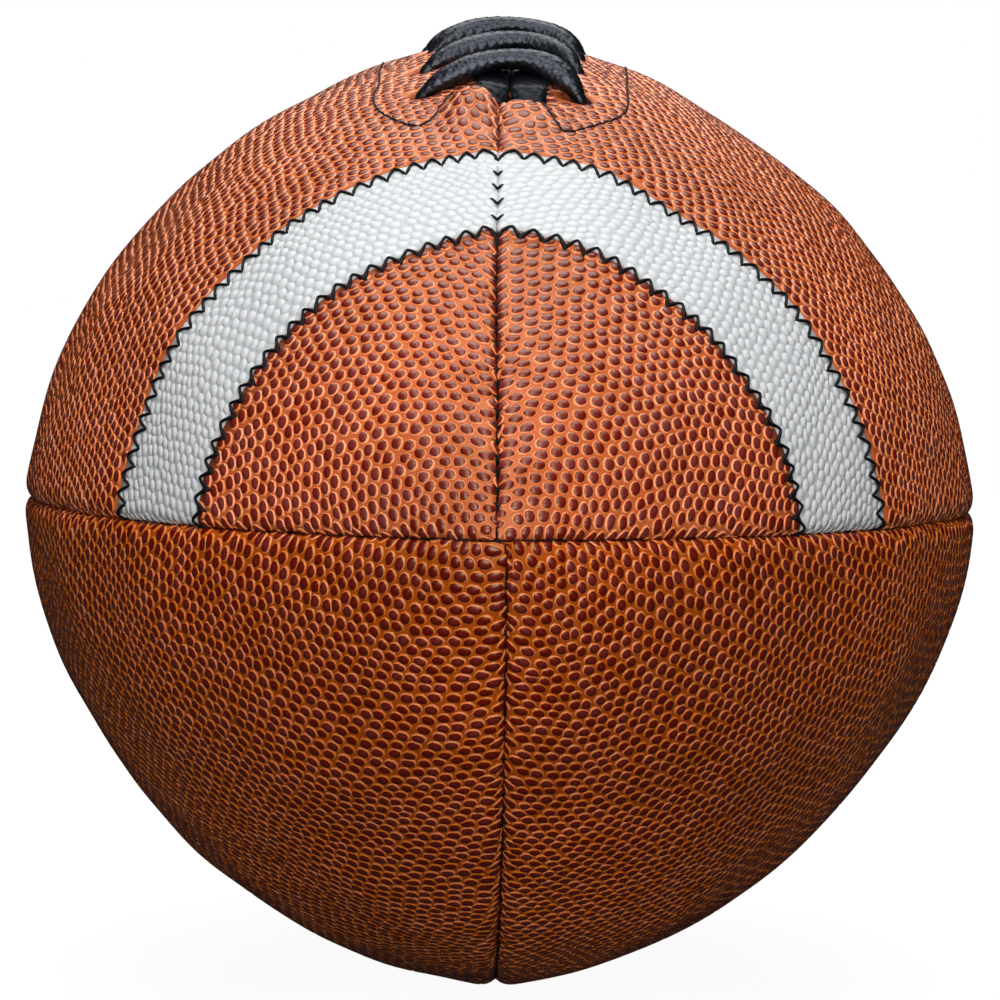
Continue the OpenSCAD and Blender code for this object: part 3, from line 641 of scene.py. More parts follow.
def tan_leather(colours):
    # Pebbled cowhide, drum dyed orange tan, embossed and its tops stained burgundy under a wax finish:
    # matt valleys, and tops that catch a soft light along their edges
    material, tree, shader, where, grain = grained_material("Waxed pebbled cowhide, tan", {
        "Specular IOR Level": 0.85, "Specular Tint": (*linear("#FFDAB8"), 1)}, 900.0, 3.0, 0.35)
    tone, shade = ((add_node(tree, "Attribute", attribute_name=name), "Fac") for name in ("tone", "shade"))
    cloud = add_node(tree, "TexNoise", {"Scale": 34.0, "Detail": 2.0, "Vector": where})
    ragged = add_node(tree, "Math", {0: grain, 1: 0.16, 2: -0.08}, operation="MULTIPLY_ADD")
    level = add_node(tree, "Math", {0: tone, 1: ragged}, operation="ADD")
    # From the valley's foot up to its top, the dark line round a pebble, and the pebble's rim and middle
    # The valley's foot is painted darker and the slopes lighter than the leather's own orange: painted shade
    # in the valleys and a painted highlight along the pebbles' sides
    colour = add_node(tree, "ValToRGB", {"Fac": level}, [
        (0.0, "#BE5720"), (1.0, colours.stain), (0.28, colours.tan), (0.47, "#E97E40"), (0.55, "#4A0801"),
        (0.63, "#5C1007"), (0.7, "#701B11")])
    spread = add_node(tree, "MapRange", {
        "Value": cloud, "From Min": 0.3, "From Max": 0.7, "To Min": 0.86, "To Max": 1.14})
    # The shade attribute lightens and pales the leather: its spread from pebble to pebble is the leather's
    # own, while its rise on the lace panels and towards the laces is painted light and painted sheen from
    # above
    vary, depth = (
        add_node(tree, "MapRange", {"Value": shade, "From Max": 1.5, "To Min": low, "To Max": high})
        for low, high in ((0.86, 1.36), (1.08, 0.84)))
    value = add_node(tree, "Math", {0: spread, 1: vary}, operation="MULTIPLY")
    add_node(tree, "HueSaturation", {"Color": colour, "Saturation": depth, "Value": value},
             to=(shader, "Base Color"))
    add_node(tree, "MapRange", {
        "Value": tone, "From Min": 0.4, "From Max": 0.7, "To Min": 0.44, "To Max": 0.33},
        to=(shader, "Roughness"))
    return material


def white_leather(colours):
    # Coated cowhide, pigmented white over the same embossing: soft, matt, with painted shade that greys the
    # valleys
    material, tree, shader, _, grain = grained_material("Coated pebbled cowhide, white", {
        "Roughness": 0.55, "Specular IOR Level": 0.35}, 1100.0, 3.0, 0.25)
    tone = add_node(tree, "Attribute", attribute_name="tone")
    level = add_node(tree, "Math", {0: grain, 1: 0.2, 2: (tone, "Fac")}, operation="MULTIPLY_ADD")
    add_node(tree, "ValToRGB", {"Fac": level}, [(0.05, "#C3C6C8"), (0.9, colours.white), (0.5, "#D4D6D8")],
             to=(shader, "Base Color"))
    return material


def lace_rubber(colours):
    # Moulded composite lacing: near black, a satin sheen on each grip bump and a fine matt skin between them
    material, tree, shader, where, _ = grained_material("Grained composite lacing, black", {
        "Roughness": 0.36, "Specular Tint": (*linear("#E4EDFF"), 1)}, 2600.0, 2.0, 0.25, 0.0001)
    # The strands reflect less than the bars: painted shade for the bars' shadow over them
    tone = add_node(tree, "Attribute", attribute_name="tone")
    add_node(tree, "MapRange", {"Value": (tone, "Fac"), "To Min": 0.22, "To Max": 0.62},
             to=(shader, "Specular IOR Level"))
    patch = add_node(tree, "TexNoise", {"Scale": 260.0, "Detail": 2.0, "Vector": where})
    add_node(tree, "ValToRGB", {"Fac": patch}, [(0.3, "#07090C"), (0.7, colours.lace)],
             to=(shader, "Base Color"))
    return material


def two_tone(name, roughness, specular, grain, stops):
    """A finish with two tones of one colour over a fine grain, given as its scale, detail and strength."""
    material, tree, shader, _, noise = grained_material(name, {
        "Roughness": roughness, "Specular IOR Level": specular}, *grain)
    add_node(tree, "ValToRGB", {"Fac": noise}, stops, to=(shader, "Base Color"))
    return material


def waxed_thread(colours):
    # Bonded polyester thread, twisted from three plies and waxed: dark navy black with a dull shine
    return two_tone("Waxed polyester thread, black", 0.55, 0.2, (1800.0, 2.0, 0.5),
                    [(0.3, "#040506"), (0.72, colours.thread)])


def split_leather():
    # Split cowhide facing, brushed on the flesh side: soft and matt
    return two_tone("Split cowhide facing", 0.8, 0.3, (700.0, 4.0, 0.4),
                    [(0.35, "#4E2816"), (0.65, "#6E3A22")])


def bladder_rubber():
    # Butyl rubber bladder, moulded: smooth grey with a dull sheen
    return two_tone("Moulded butyl rubber, grey", 0.5, 0.4, (260.0, 4.0, 0.12),
                    [(0.35, "#7C7F84"), (0.65, "#94979C")])


def valve_rubber():
    # Moulded valve rubber: fine, near black
    return two_tone("Moulded valve rubber, black", 0.45, 0.45, (1500.0, 4.0, 0.15),
                    [(0.35, "#191A1C"), (0.65, "#2A2B2E")])


def lining_cloth():
    # Three-ply cotton lining, rubbered flat: a plain weave of about 1 mm, drawn at its own scale
    material, tree, shader, where = new_material("Rubbered cotton lining", {
        "Roughness": 0.85, "Specular IOR Level": 0.2})
    warp, weft = ((add_node(tree, "TexWave", {"Scale": 160.0, "Vector": where}, bands_direction=way), "Fac")
                  for way in ("X", "Y"))
    weave = add_node(tree, "Math", {0: warp, 1: weft}, operation="MULTIPLY")
    add_node(tree, "ValToRGB", {"Fac": weave}, [(0.1, "#A99C82"), (0.8, "#D3C9B2")],
             to=(shader, "Base Color"))
    add_node(tree, "Bump", {"Strength": 0.6, "Distance": 0.0003, "Height": weave}, to=(shader, "Normal"))
    return material


# Panels and stripes: places across the flat, a rounded edge and the inside of a loop
FLAT_PLACES = 31
EDGE_PLACES = 7
INSIDE_PLACES = 13
# Angles of a panel's loops seen from the ball's middle, more loops round the opening's ends, the least step
# between two loops and their distance from a stripe's wall
LOOP_ANGLES = [1.0, *np.linspace(2.0, 178.0, 84), 179.0]
LIP_LOOPS = np.arange(62, 83, 0.9)
LEAST_STEP = 0.55
WALL_CLEAR = 0.5
# Shades of the leather's valleys: the lace panels, painted lighter than the back panels for the light from
# above, what the painted sheen towards the laces adds to them, and the back panels
VALLEY_SHADES = (0.68, 0.15, 0.32)
# Shades of the pebbles: the spread in them, which is their own, what the lace panels add, which is painted
# light from above, and what the painted sheen towards the laces adds
PEBBLE_SHADES = (0.65, 0.35, 0.5)
PEBBLES_NEAR_HOLE = 0.75
CUTTER_LENGTH = 16.0
STRIPE_GAP = 0.1
STRIPE_ROWS = 15
WHITE_PEBBLE_HEIGHT = 0.115
# Shares of a pebble's room that its foot and its rim take, and how far from a stripe's edge its middle and
# its rim keep, on the tan leather and on the white
TAN_SHARES = (0.985, 0.75)
TAN_CLEAR = (0.5, 0.25)
WHITE_SHARES = (1.0, 0.84)
WHITE_CLEAR = (0.45, 0.12)
# Near the middle of the ball there is no edge to keep off
NO_EDGE = 5
# Heights above the middle between which the leather is painted lighter towards the laces: a painted sheen of
# the light from above
SHEEN_HEIGHTS = (56.0, 80.0)
# How far a lace hole stands off its regular place: number from the front, side, outwards and along the ball
HOLE_OFF = {(0, -1): (-0.3, -3.6), (0, 1): (-1.4, -4.8), (1, -1): (-0.4, -2.2), (1, 1): (-1.8, -4.6),
            (2, -1): (-1.2, -1.7), (2, 1): (-0.9, -2.8)}


def leather_stations(laced):
    """Places along the ball of a panel's loops, each with how far the leather is sunk there for a stripe."""
    places = list(-HALF_LENGTH * np.cos(np.radians(LOOP_ANGLES)))
    fixed = []
    if laced:
        for end in (-1, 1):
            walls = [STRIPE_NEAR + RECESS_WALL, STRIPE_NEAR, STRIPE_FAR, STRIPE_FAR - RECESS_WALL]
            fixed += [(end * v, STRIPE_T + SEAT_GAP if k in (1, 2) else 0.0) for k, v in enumerate(walls)]
            places += list(end * LIP_LOOPS)
    out = []
    last = -math.inf
    for v in sorted(places):
        if v - last < LEAST_STEP or any(abs(mark - v) < WALL_CLEAR for mark, _ in fixed):
            continue
        out.append((v, STRIPE_T + SEAT_GAP if laced and STRIPE_FAR < abs(v) < STRIPE_NEAR else 0.0))
        last = v
    return sorted(out + fixed)


def leather_row(y, laced):
    """Places and normals of the outside of a panel from seam to seam, at one place along the ball."""
    low, high = (float(edge_sizes(y, side, laced)[4]) for side in (-1.0, 1.0))
    across = np.concatenate([np.linspace(-float(reach(y, -1, laced)), -low, EDGE_PLACES)[:-1],
                             np.linspace(-low, high, FLAT_PLACES),
                             np.linspace(high, float(reach(y, 1, laced)), EDGE_PLACES)[1:]])
    return leather(np.full(len(across), y), across, laced)


def leather_loop(y, sink, laced):
    """One closed loop of a panel: over the outside from seam to seam and back along the inside."""
    y = np.array(y)
    height = seam_height(y)
    place, normal = leather_row(y, laced)
    open_half = float(edge_sizes(y, 1.0, laced)[3])
    flange = min(FLANGE_T, 0.2 * height)
    turned = max(LEATHER_T + SEAT_GAP, min(FLANGE_DEPTH, 0.35 * height))
    lean = LEATHER_T * LEAN
    angles = np.linspace(arc_angle(open_half + flange + lean, height),
                         -arc_angle(HALF_GAP + flange + lean, height), INSIDE_PLACES)
    inner = surface(np.full(INSIDE_PLACES, y), angles, LEATHER_T)[0]
    corners = [edge_place(y, 1, e, turned) for e in (open_half, open_half + flange)]
    back = [edge_place(y, -1, e, turned) for e in (HALF_GAP + flange, HALF_GAP)]
    return np.concatenate([place - normal * sink, corners, inner, back])


def hole_cutter(at, out, diameter):
    """A rod that stands square through the leather where a hole goes."""
    select()
    bpy.ops.mesh.primitive_cylinder_add(vertices=32, radius=diameter / 2 * MM, depth=CUTTER_LENGTH * MM)
    cutter = bpy.context.object
    turn = Vector(out).to_track_quat("Z", "Y").to_matrix().to_4x4()
    cutter.data.transform(Matrix.Translation(Vector(raised(at))) @ turn)
    return cutter


def hole_off(k, side):
    """How far lace hole k of a side stands off its regular place: outwards and along the ball."""
    return HOLE_OFF.get((k, side), (0.0, 0.3 * side * math.sin(2.1 * k + 1.3)))


def panel_holes(laced, left):
    """Holes of a panel: places along the ball and angles from its middle, with their diameters."""
    holes = []
    for k in range(LACE_COUNT if laced else 0):
        outwards, along = hole_off(k, -1 if left else 1)
        y = np.array(-LACE_ROW + k * LACE_PITCH + along)
        holes.append((y, arc_angle(LACE_SPAN / 2 + outwards, seam_height(y)), HOLE_D))
    if laced and left:
        holes.append((np.array(0.0), np.radians(VALVE_ANGLE), VALVE_HOLE_D))
    return holes


def grained_piece(name, node, base, grain, mirrored, material):
    """A leather piece with its pebbles on it."""
    points, faces, tone, shade = grain
    pebbled = raw_piece(name + "_grain", points, turned_over(faces, mirrored), tone=tone, shade=shade)
    finished(joined(name, [base, pebbled]), material, node)


def build_panel(side, laced, material, seed):
    row, left = "lace" if laced else "back", side == "left"
    name, node = (f"{word}_{row}_{side}" for word in ("leather", "panel"))
    angle = RIGHT_LACE if laced else RIGHT_BACK
    sizes = bpy.context.scene.football_sizes
    base = sheet_grid(name, [to_ball(leather_loop(y, sink, laced), angle, left)
                             for y, sink in leather_stations(laced)])
    bare, cutters = [], []
    for y, beta, diameter in panel_holes(laced, left):
        at, out = surface(y, beta, 0.0)
        cutters.append(hole_cutter(to_ball(at, angle, left), to_ball(out, angle, left), diameter))
        bare.append(([float(s_at(y)), float(ARC * seam_height(y) * beta)], diameter / 2 + PEBBLES_NEAR_HOLE))
    if cutters:
        cutter = joined("hole_cutters", cutters)
        select(base)
        cut = base.modifiers.new("Holes", "BOOLEAN")
        cut.operation, cut.object, cut.solver = "DIFFERENCE", cutter, "EXACT"
        bpy.ops.object.modifier_apply(modifier=cut.name)
        bpy.data.objects.remove(cutter)
    height = np.array([v.co.z for v in base.data.vertices]) / MM - REST
    # Painted light: the lace panels' valleys are painted lighter than the back panels', and lighter still
    # towards the laces, a painted sheen of the light from above
    plain, top_sheen, back = VALLEY_SHADES
    set_values(base.data, {"tone": 0 * height,
                           "shade": plain + top_sheen * grows(height, *SHEEN_HEIGHTS) if laced else back + 0 * height})
    near_s, far_s = float(s_at(STRIPE_NEAR)), float(s_at(STRIPE_FAR))

    def keep(seeds):
        ok = np.ones(len(seeds), bool)
        for spot, room in bare:
            ok &= np.linalg.norm(seeds - spot, axis=1) > room
        if laced:
            along = np.abs(seeds[:, 0])
            ok &= (along < far_s - TAN_CLEAR[0]) | (along > near_s + TAN_CLEAR[0])
        return ok

    def turn_ends(s, seed_s):
        """Keeps the pebbles of each side of a stripe on their own side of its edge."""
        if not laced:
            return s
        size = np.where(np.abs(seed_s) > near_s, np.maximum(np.abs(s), near_s + TAN_CLEAR[1]),
                        np.minimum(np.abs(s), far_s - TAN_CLEAR[1]))
        return np.where(np.abs(seed_s) > NO_EDGE, np.sign(seed_s) * size, s)

    # The rows of each panel lie at an angle of their own, as the hides were laid for cutting
    points, faces, tone, shade = pebbles(seed, sizes.pebble_spacing, laced, math.radians(12 + 19 * seed),
                                         keep, turn_ends, *TAN_SHARES, sizes.pebble_height)
    points = to_ball(points, angle, left)
    # Painted light: the lace panels' pebbles are painted lighter, and lighter still towards the laces, a
    # painted sheen of the light from above; the spread is the pebbles' own
    spread, plain, top_sheen = PEBBLE_SHADES
    shade = spread * shade + (plain + top_sheen * grows(points[:, 2], *SHEEN_HEIGHTS) if laced else 0.0)
    grained_piece(name, node, base, (points, faces, tone, shade), left, material)


def build_stripe(end, side, material, seed):
    name, node = (f"{word}_{end}_{side}" for word in ("white", "stripe"))
    left, rear = side == "left", end == "rear"
    near, far = STRIPE_NEAR - STRIPE_GAP, STRIPE_FAR + STRIPE_GAP
    loops = []
    for y in np.linspace(-near, -far, STRIPE_ROWS):
        place, normal = leather_row(y, True)
        loop = np.concatenate([place, (place - normal * STRIPE_T)[::-1]])
        loops.append(to_ball(loop, RIGHT_LACE, left, rear))
    base = sheet_grid(name, loops)
    blank = np.zeros(len(base.data.vertices))
    set_values(base.data, {"tone": blank, "shade": blank})
    near_s, far_s = -float(s_at(near)), -float(s_at(far))

    def keep(seeds):
        return (seeds[:, 0] > near_s + WHITE_CLEAR[0]) & (seeds[:, 0] < far_s - WHITE_CLEAR[0])

    def turn_ends(s, seed_s):
        return np.clip(s, near_s + WHITE_CLEAR[1], far_s - WHITE_CLEAR[1])

    spacing = bpy.context.scene.football_sizes.white_spacing
    points, *rest = pebbles(seed, spacing, True, math.radians(31 * seed), keep, turn_ends, *WHITE_SHARES,
                            WHITE_PEBBLE_HEIGHT)
    grained_piece(name, node, base, (to_ball(points, RIGHT_LACE, left, rear), *rest), left != rear, material)


class FOOTBALL_OT_panels(bpy.types.Operator):
    """Cut, turn and grain the four leather panels"""
    bl_idname = "football.panels"
    bl_label = "Leather panels"

    def execute(self, context):
        material = tan_leather(context.scene.football_colours)
        for k, (laced, side) in enumerate(itertools.product((True, False), SIDES)):
            build_panel(side, laced, material, 3 + k)
        return {"FINISHED"}


class FOOTBALL_OT_stripes(bpy.types.Operator):
    """Lay the four white stripes into the lace panels"""
    bl_idname = "football.stripes"
    bl_label = "White stripes"

    def execute(self, context):
        material = white_leather(context.scene.football_colours)
        for k, (end, side) in enumerate(itertools.product(ENDS, SIDES)):
            build_stripe(end, side, material, 11 + k)
        return {"FINISHED"}


# The lace: its one route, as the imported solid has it, with bars as thick and as close as in the photograph.
# Shape of a bar from a hole to the middle: share of the way out, rise, thickness and width
BAR_SHAPE = [(0.96, 0.2, 2.2, 4.4), (0.86, 1.25, 3.2, 5.0), (0.73, 1.85, 4.2, LACE_W),
             (0.55, 2.35, 4.6, LACE_W), (0.38, 2.75, 4.1, LACE_W), (0.15, 2.95, 3.4, LACE_W)]
# How much higher each of the bars stands, from the front
BAR_LIFT = [0.5, -0.7, -0.35, -0.3, -0.4, -0.15, -0.45, -0.2]
FIRST_BAR_SHIFT = -2.4
HOLE_LACE_W = 4.2
HOLE_LACE_T = 2.0
STRAND_T = 1.5
STRAND_W = 5.8
STRAND_PLACES = 11
STRAND_GAP = 0.08
PASS_GAP = 0.3
# A stop less deep than this is on the outside of the leather
SHOWN = 1.5
# Sideways shift of the bars and strands near the front, and where along the ball it grows
PAIR_SHIFT = 1.9
PAIR_SHIFTS = (25, -35)
# Moulded grip bumps: places round the lace, bumps round it, their pitch, height, stagger and irregularity
GRIP_SIDES = 44
GRIP_ROUND = 13
GRIP_PITCH = 1.0
GRIP_RISE = 0.15
GRIP_ROW = 0.87
GRIP_PUSH = 0.2
# Length between two rings of the lace where it is seen and where it isn't, and how square it is
GRIP_STEP = 0.29
HIDDEN_STEP = 2.2
LACE_SQUARE = 0.82


def top_place(x, y, depth):
    """Place on the top of the ball, x to a side of the seam."""
    p = to_ball(edge_place(np.array(float(y)), 1, abs(x), depth), RIGHT_LACE)
    return np.array([x, p[1], p[2]])


def top_out(x, y):
    """The way out of the leather there."""
    y = np.array(float(y))
    n = to_ball(surface(y, arc_angle(abs(x), seam_height(y)), 0.0)[1], RIGHT_LACE)
    return np.array([math.copysign(1, x) * n[0] if x else 0.0, n[1], n[2]])


def lace_stops():
    """Places of the lace: distance from the seam, along the ball, depth, its width's way, and its size."""
    strand_rise = STRAND_GAP + STRAND_T / 2
    pass_depth = FACING_BOTTOM + PASS_GAP + LACE_T / 2
    hole_x = LACE_SPAN / 2
    bend = LACE_T / 2
    inwards, along_y = np.array([-1.0, 0, 0]), np.array([0.0, 1, 0])
    turned = np.array([-math.sqrt(0.5), math.sqrt(0.5), 0])

    def bar_y(i):
        return -LACE_ROW + i * LACE_PITCH

    def half_bar(i, s):
        """A bar from under its hole to near the seam."""
        outwards, along = hole_off(i, s)
        middle = FIRST_BAR_SHIFT if i == 0 else 0.0
        return [(s * hole_x, bar_y(i), FACING_TOP, along_y, HOLE_LACE_W, LACE_T),
                (s * (hole_x + outwards), bar_y(i) + along, 0.4, along_y, HOLE_LACE_W, HOLE_LACE_T),
                *((s * (hole_x + outwards) * a, bar_y(i) + middle + (along - middle) * a * a,
                   -rise - BAR_LIFT[i] * min(1, 2 * (1 - a)), along_y, w, thick)
                  for a, rise, thick, w in BAR_SHAPE)]

    def bar(i):
        return half_bar(i, -1) + half_bar(i, 1)[::-1]

    def crossing(i):
        run = np.array([2 * hole_x, LACE_PITCH]) / math.hypot(2 * hole_x, LACE_PITCH)
        return [(s * hole_x, bar_y(i) - LACE_PITCH * (1 - s) / 2, pass_depth, np.array([-run[1], run[0], 0]),
                 LACE_W, LACE_T) for s in (0.8, 0.4, 0, -0.4, -0.8)]

    def eye(end, x):
        return [(x, end * (EYE_Y - bend), bend / 2 - strand_rise, inwards, LACE_W, STRAND_T),
                (x, end * EYE_Y, LACE_T / 2, inwards, LACE_W, LACE_T),
                (x, end * EYE_Y, FLANGE_DEPTH, inwards, LACE_W, LACE_T)]

    def strand(x):
        half = (STRAND_PLACES - 1) / 2
        return [*eye(-1, x)[::-1],
                *((x, (EYE_Y - LACE_T) * (k / half - 1), -strand_rise, inwards, STRAND_W, STRAND_T)
                  for k in range(STRAND_PLACES)), *eye(1, x)]

    def tail(end, x):
        return [(x, end * y, pass_depth, inwards, LACE_W, LACE_T) for y in (LACE_ROW + 5, EYE_Y - bend)]

    def turn(end):
        x, y = end * (hole_x + STRAND_X) / 2, -end * (EYE_Y + LACE_ROW) / 2
        return [(x, y, pass_depth, turned, LACE_W, LACE_T)]

    stops = tail(-1, -STRAND_X) + strand(-STRAND_X) + turn(-1) + bar(LACE_COUNT - 1)
    for i in range(LACE_COUNT - 1, 0, -1):
        stops += crossing(i) + bar(i - 1)
    return stops + turn(1) + strand(STRAND_X) + tail(1, STRAND_X)[::-1]


def smoothed(values, parts):
    """A smooth line through the stops, with a number of places between each two."""
    values = np.asarray(values, float)
    before = np.concatenate([values[:1], values[:-1]])
    after = np.concatenate([values[1:], values[-1:]])
    slope = (after - before) / 2
    out = []
    for i in range(len(values) - 1):
        gap = np.linalg.norm(values[i + 1] - values[i])
        a, b = (v * min(1, gap / max(np.linalg.norm(v), 1e-9)) for v in (slope[i], slope[i + 1]))
        for t in np.arange(parts) / parts:
            out.append((2 * t ** 3 - 3 * t ** 2 + 1) * values[i] + (t ** 3 - 2 * t ** 2 + t) * a
                       + (-2 * t ** 3 + 3 * t ** 2) * values[i + 1] + (t ** 3 - t ** 2) * b)
    out.append(values[-1])
    return np.array(out)


def travelled(line):
    """Length from the start of a line to each of its places."""
    return np.concatenate([[0], np.cumsum(np.linalg.norm(np.diff(line, axis=0), axis=1))])


def grip_height(middle, shown):
    """Height of the moulded grip bumps round the lace: staggered rows, a little irregular."""
    row = (travelled(middle) / (GRIP_ROW * GRIP_PITCH))[:, None]
    column = (np.arange(GRIP_SIDES) * GRIP_ROUND / GRIP_SIDES)[None]
    nearest = np.full((len(middle), GRIP_SIDES), 9.0)
    for step in (0, 1):
        r = np.floor(row) + step
        off = 0.5 * (r % 2)
        c = np.round(column - off) + off
        # A push that differs from bump to bump and is the same each run
        push = GRIP_PUSH * np.sin(r * 12.9898 + (c % GRIP_ROUND) * 78.233)
        nearest = np.minimum(nearest, np.hypot((row - r + push) * GRIP_ROW, column - c + 0.8 * push))
    return GRIP_RISE * (eased(1.25 - nearest * 1.9) - 0.35) * np.clip(shown, 0, 1)[:, None]


class FOOTBALL_OT_lace(bpy.types.Operator):
    """Thread the lace through its holes"""
    bl_idname = "football.lace"
    bl_label = "Lace"

    def execute(self, context):
        stops = lace_stops()
        line = smoothed([top_place(*s[:3]) for s in stops], 12)
        near_seam = np.maximum(1 - (line[:, 0] / (LACE_SPAN / 2)) ** 2, 0)
        line[:, 0] += PAIR_SHIFT * near_seam * grows(line[:, 1], *PAIR_SHIFTS)
        knots = np.arange(len(stops))
        steps = np.linspace(0, len(stops) - 1, len(line))
        shown = np.interp(steps, knots, [float(s[2] < SHOWN) for s in stops])
        step = np.where(shown[1:] > 0.3, GRIP_STEP, HIDDEN_STEP)
        travel = np.cumsum(np.linalg.norm(np.diff(line, axis=0), axis=1) / step)
        travel = np.concatenate([[0], travel])
        pick = np.interp(np.arange(0, travel[-1], 1.0), travel, steps)
        middle = np.stack([np.interp(pick, steps, line[:, k]) for k in range(3)], 1)
        across = np.stack([np.interp(pick, knots, [s[3][k] for s in stops]) for k in range(3)], 1)
        run = unit(np.gradient(middle, axis=0))
        across = unit(across - (across * run).sum(1)[:, None] * run)
        up = np.cross(run, across)
        grip = grip_height(middle, np.interp(pick, steps, shown))
        turn = (np.arange(GRIP_SIDES) + 0.5) * 2 * math.pi / GRIP_SIDES
        rings = middle[:, None]
        for way, part, k in ((across, np.cos(turn), 4), (up, np.sin(turn), 5)):
            wide = np.interp(pick, knots, [s[k] for s in stops])[:, None] + 2 * grip
            reached = np.sign(part) * np.abs(part) ** LACE_SQUARE / 2 * wide
            rings = rings + way[:, None] * reached[..., None]
        points, faces = ring_faces(rings)
        # on_bar marks the bars; the strands reflect less, a painted shade for the bars' shadow over them
        on_bar = np.interp(pick, knots, [float(s[3][1] > 0.9) for s in stops])
        lace = raw_piece("lacing", points, faces, tone=np.append(np.repeat(on_bar, GRIP_SIDES), [0, 0]))
        finished(lace, lace_rubber(context.scene.football_colours), "lace")
        return {"FINISHED"}


# Threads: radii, heights over the leather and lengths in millimetres
# The heavy zigzag has its loops on the white and thick points on the tan side towards the nose. The fine one
# touches the edge with its round side and goes down in the white
HEAVY_ZIGZAG = {"edge": -STRIPE_NEAR, "swing": 2.5, "shift": 0.55, "radius": 0.25, "swell": 0.34, "power": 2,
                "dip": 0.42, "lift": 0.38}
FINE_ZIGZAG = {"edge": -STRIPE_FAR, "swing": 2.9, "shift": -0.1, "radius": 0.26, "swell": 0.12, "power": 3,
               "dip": 0.3, "lift": 0.26}
ZIGZAG_STEPS = 10
ZIGZAG_END = 0.15
ZIGZAG_UNEVEN = 0.06
# The wave of a zigzag: how round its points are, its top and its height
WAVE_ROUND = 0.035
WAVE_TOP = 1.017
WAVE_HEIGHT = 0.83
# How much longer and wider the last arm is, which ends in the seam
LAST_ARM = (0.35, 0.45)
# A stitch's arm: its start beyond the panel's edge, share of its length, slant, and its heights
ARM_HEIGHTS = [-0.3, 0.12, 0.34, 0.28, -0.12]
ARMS = {"nose": (0.25, 1.0, 1, ARM_HEIGHTS), "middle": (0.25, 1.0, 1.6, ARM_HEIGHTS),
        "top": (0.05, 1.2, 0.5, ARM_HEIGHTS), "white": (-0.6, 0.72, 1.5, [0.42, 0.36, 0.3, 0.22, -0.12])}
ARM_THICKNESS = np.array([1.2, 1.2, 1.0, 0.8, 0.45])
ARM_HEIGHT_SHARE = 0.16
# Shares of their length and slant between which the arms differ, as sewn
ARM_LENGTHS = (0.8, 1.15)
ARM_SLANTS = (0.8, 1.2)
# Bare of stitches: the stripe's far side by the top seam, and the noses
FAR_BARE = 5.4
NOSE_BARE = 3.0
# The thread in the groove: depth as a share of the groove, what it gains at a stripe, radius, knots and pitch
CORE_DEPTH = 1.4
CORE_SUNK = 0.9
CORE_RADIUS = 0.17
CORE_KNOT = 0.1
CORE_PITCH = 3.2
# Where it ends, as a share of the ball's half length, the step between its places, and the height of a seam
# below which it thins
CORE_END = 0.98
CORE_STEP = 0.9
CORE_THINS = 12
# The knot in a nose: its depth, half its length and its radius
KNOT_DEPTH = 1.5
KNOT_HALF = 0.7
KNOT_RADIUS = 0.9
# A facing's thread: the step between its places, its least and its full height, and its radius
FACING_STEP = 0.62
FACING_HEIGHTS = (0.12, 0.34)
FACING_RADIUS = 0.21
# Front ends of the facing stitches, as sewn: distance from the top seam and place along the ball
FACING_FRONT = {-1: [(8.5, -65.0), (10.3, -69.8), (12.0, -73.9), (14.4, -75.2), (17.6, -71.9), (20.9, -65.5),
                     (22.1, -60.3), (22.5, -53.8), (22.0, -48.5), (22.0, -42.5)],
                1: [(6.6, -71.2), (8.5, -75.0), (10.6, -77.9), (13.9, -75.1), (17.9, -69.5), (19.9, -65.6),
                    (21.2, -60.7), (21.6, -55.1), (21.6, -49.3), (21.8, -42.0)]}


def zigzag(pitch, edge, swing, shift, radius, swell, power, dip, lift):
    """A zigzag thread along one edge of a stripe, round on one side and pointed on the other."""
    low, high = (float(reach(np.array(edge), side, True)) - ZIGZAG_END for side in (-1, 1))
    turns = round((low + high) / pitch)
    t = np.arange(turns * ZIGZAG_STEPS + 1) / ZIGZAG_STEPS
    rng = np.random.default_rng(int(abs(edge) * 7))
    wobble = np.interp(t, np.arange(turns + 1), rng.normal(0, ZIGZAG_UNEVEN, turns + 1))
    last_arm = np.clip(t - turns + 0.5, 0, 0.5) * 2
    run = t + wobble * (t % turns > 0) + LAST_ARM[0] * last_arm
    c = -low + (low + high) * run / run[-1]
    wave = (WAVE_TOP - np.sqrt((2 * (t % 1) - 1) ** 2 + WAVE_ROUND)) / WAVE_HEIGHT
    way = swing * (1 + LAST_ARM[1] * last_arm) * (wave - 1) + shift
    y = edge + way / math.sqrt(1 + float(seam_slope(edge)) ** 2)
    edge_reach = np.where(c < 0, reach(y, -1, True), reach(y, 1, True)) - ZIGZAG_END
    c = np.where(c < 0, c / low, c / high) * edge_reach
    at, out = leather(y, c, True)
    return tube(at + out * (lift - dip * (1 - wave) ** 4)[:, None], out, radius + swell * (1 - wave) ** power)


def turned_parts(parts, angle, left=False, rear=False):
    """Threads brought from a panel's frame to the ball's."""
    return [(to_ball(at, angle, left, rear), turned_over(faces, left != rear)) for at, faces in parts]


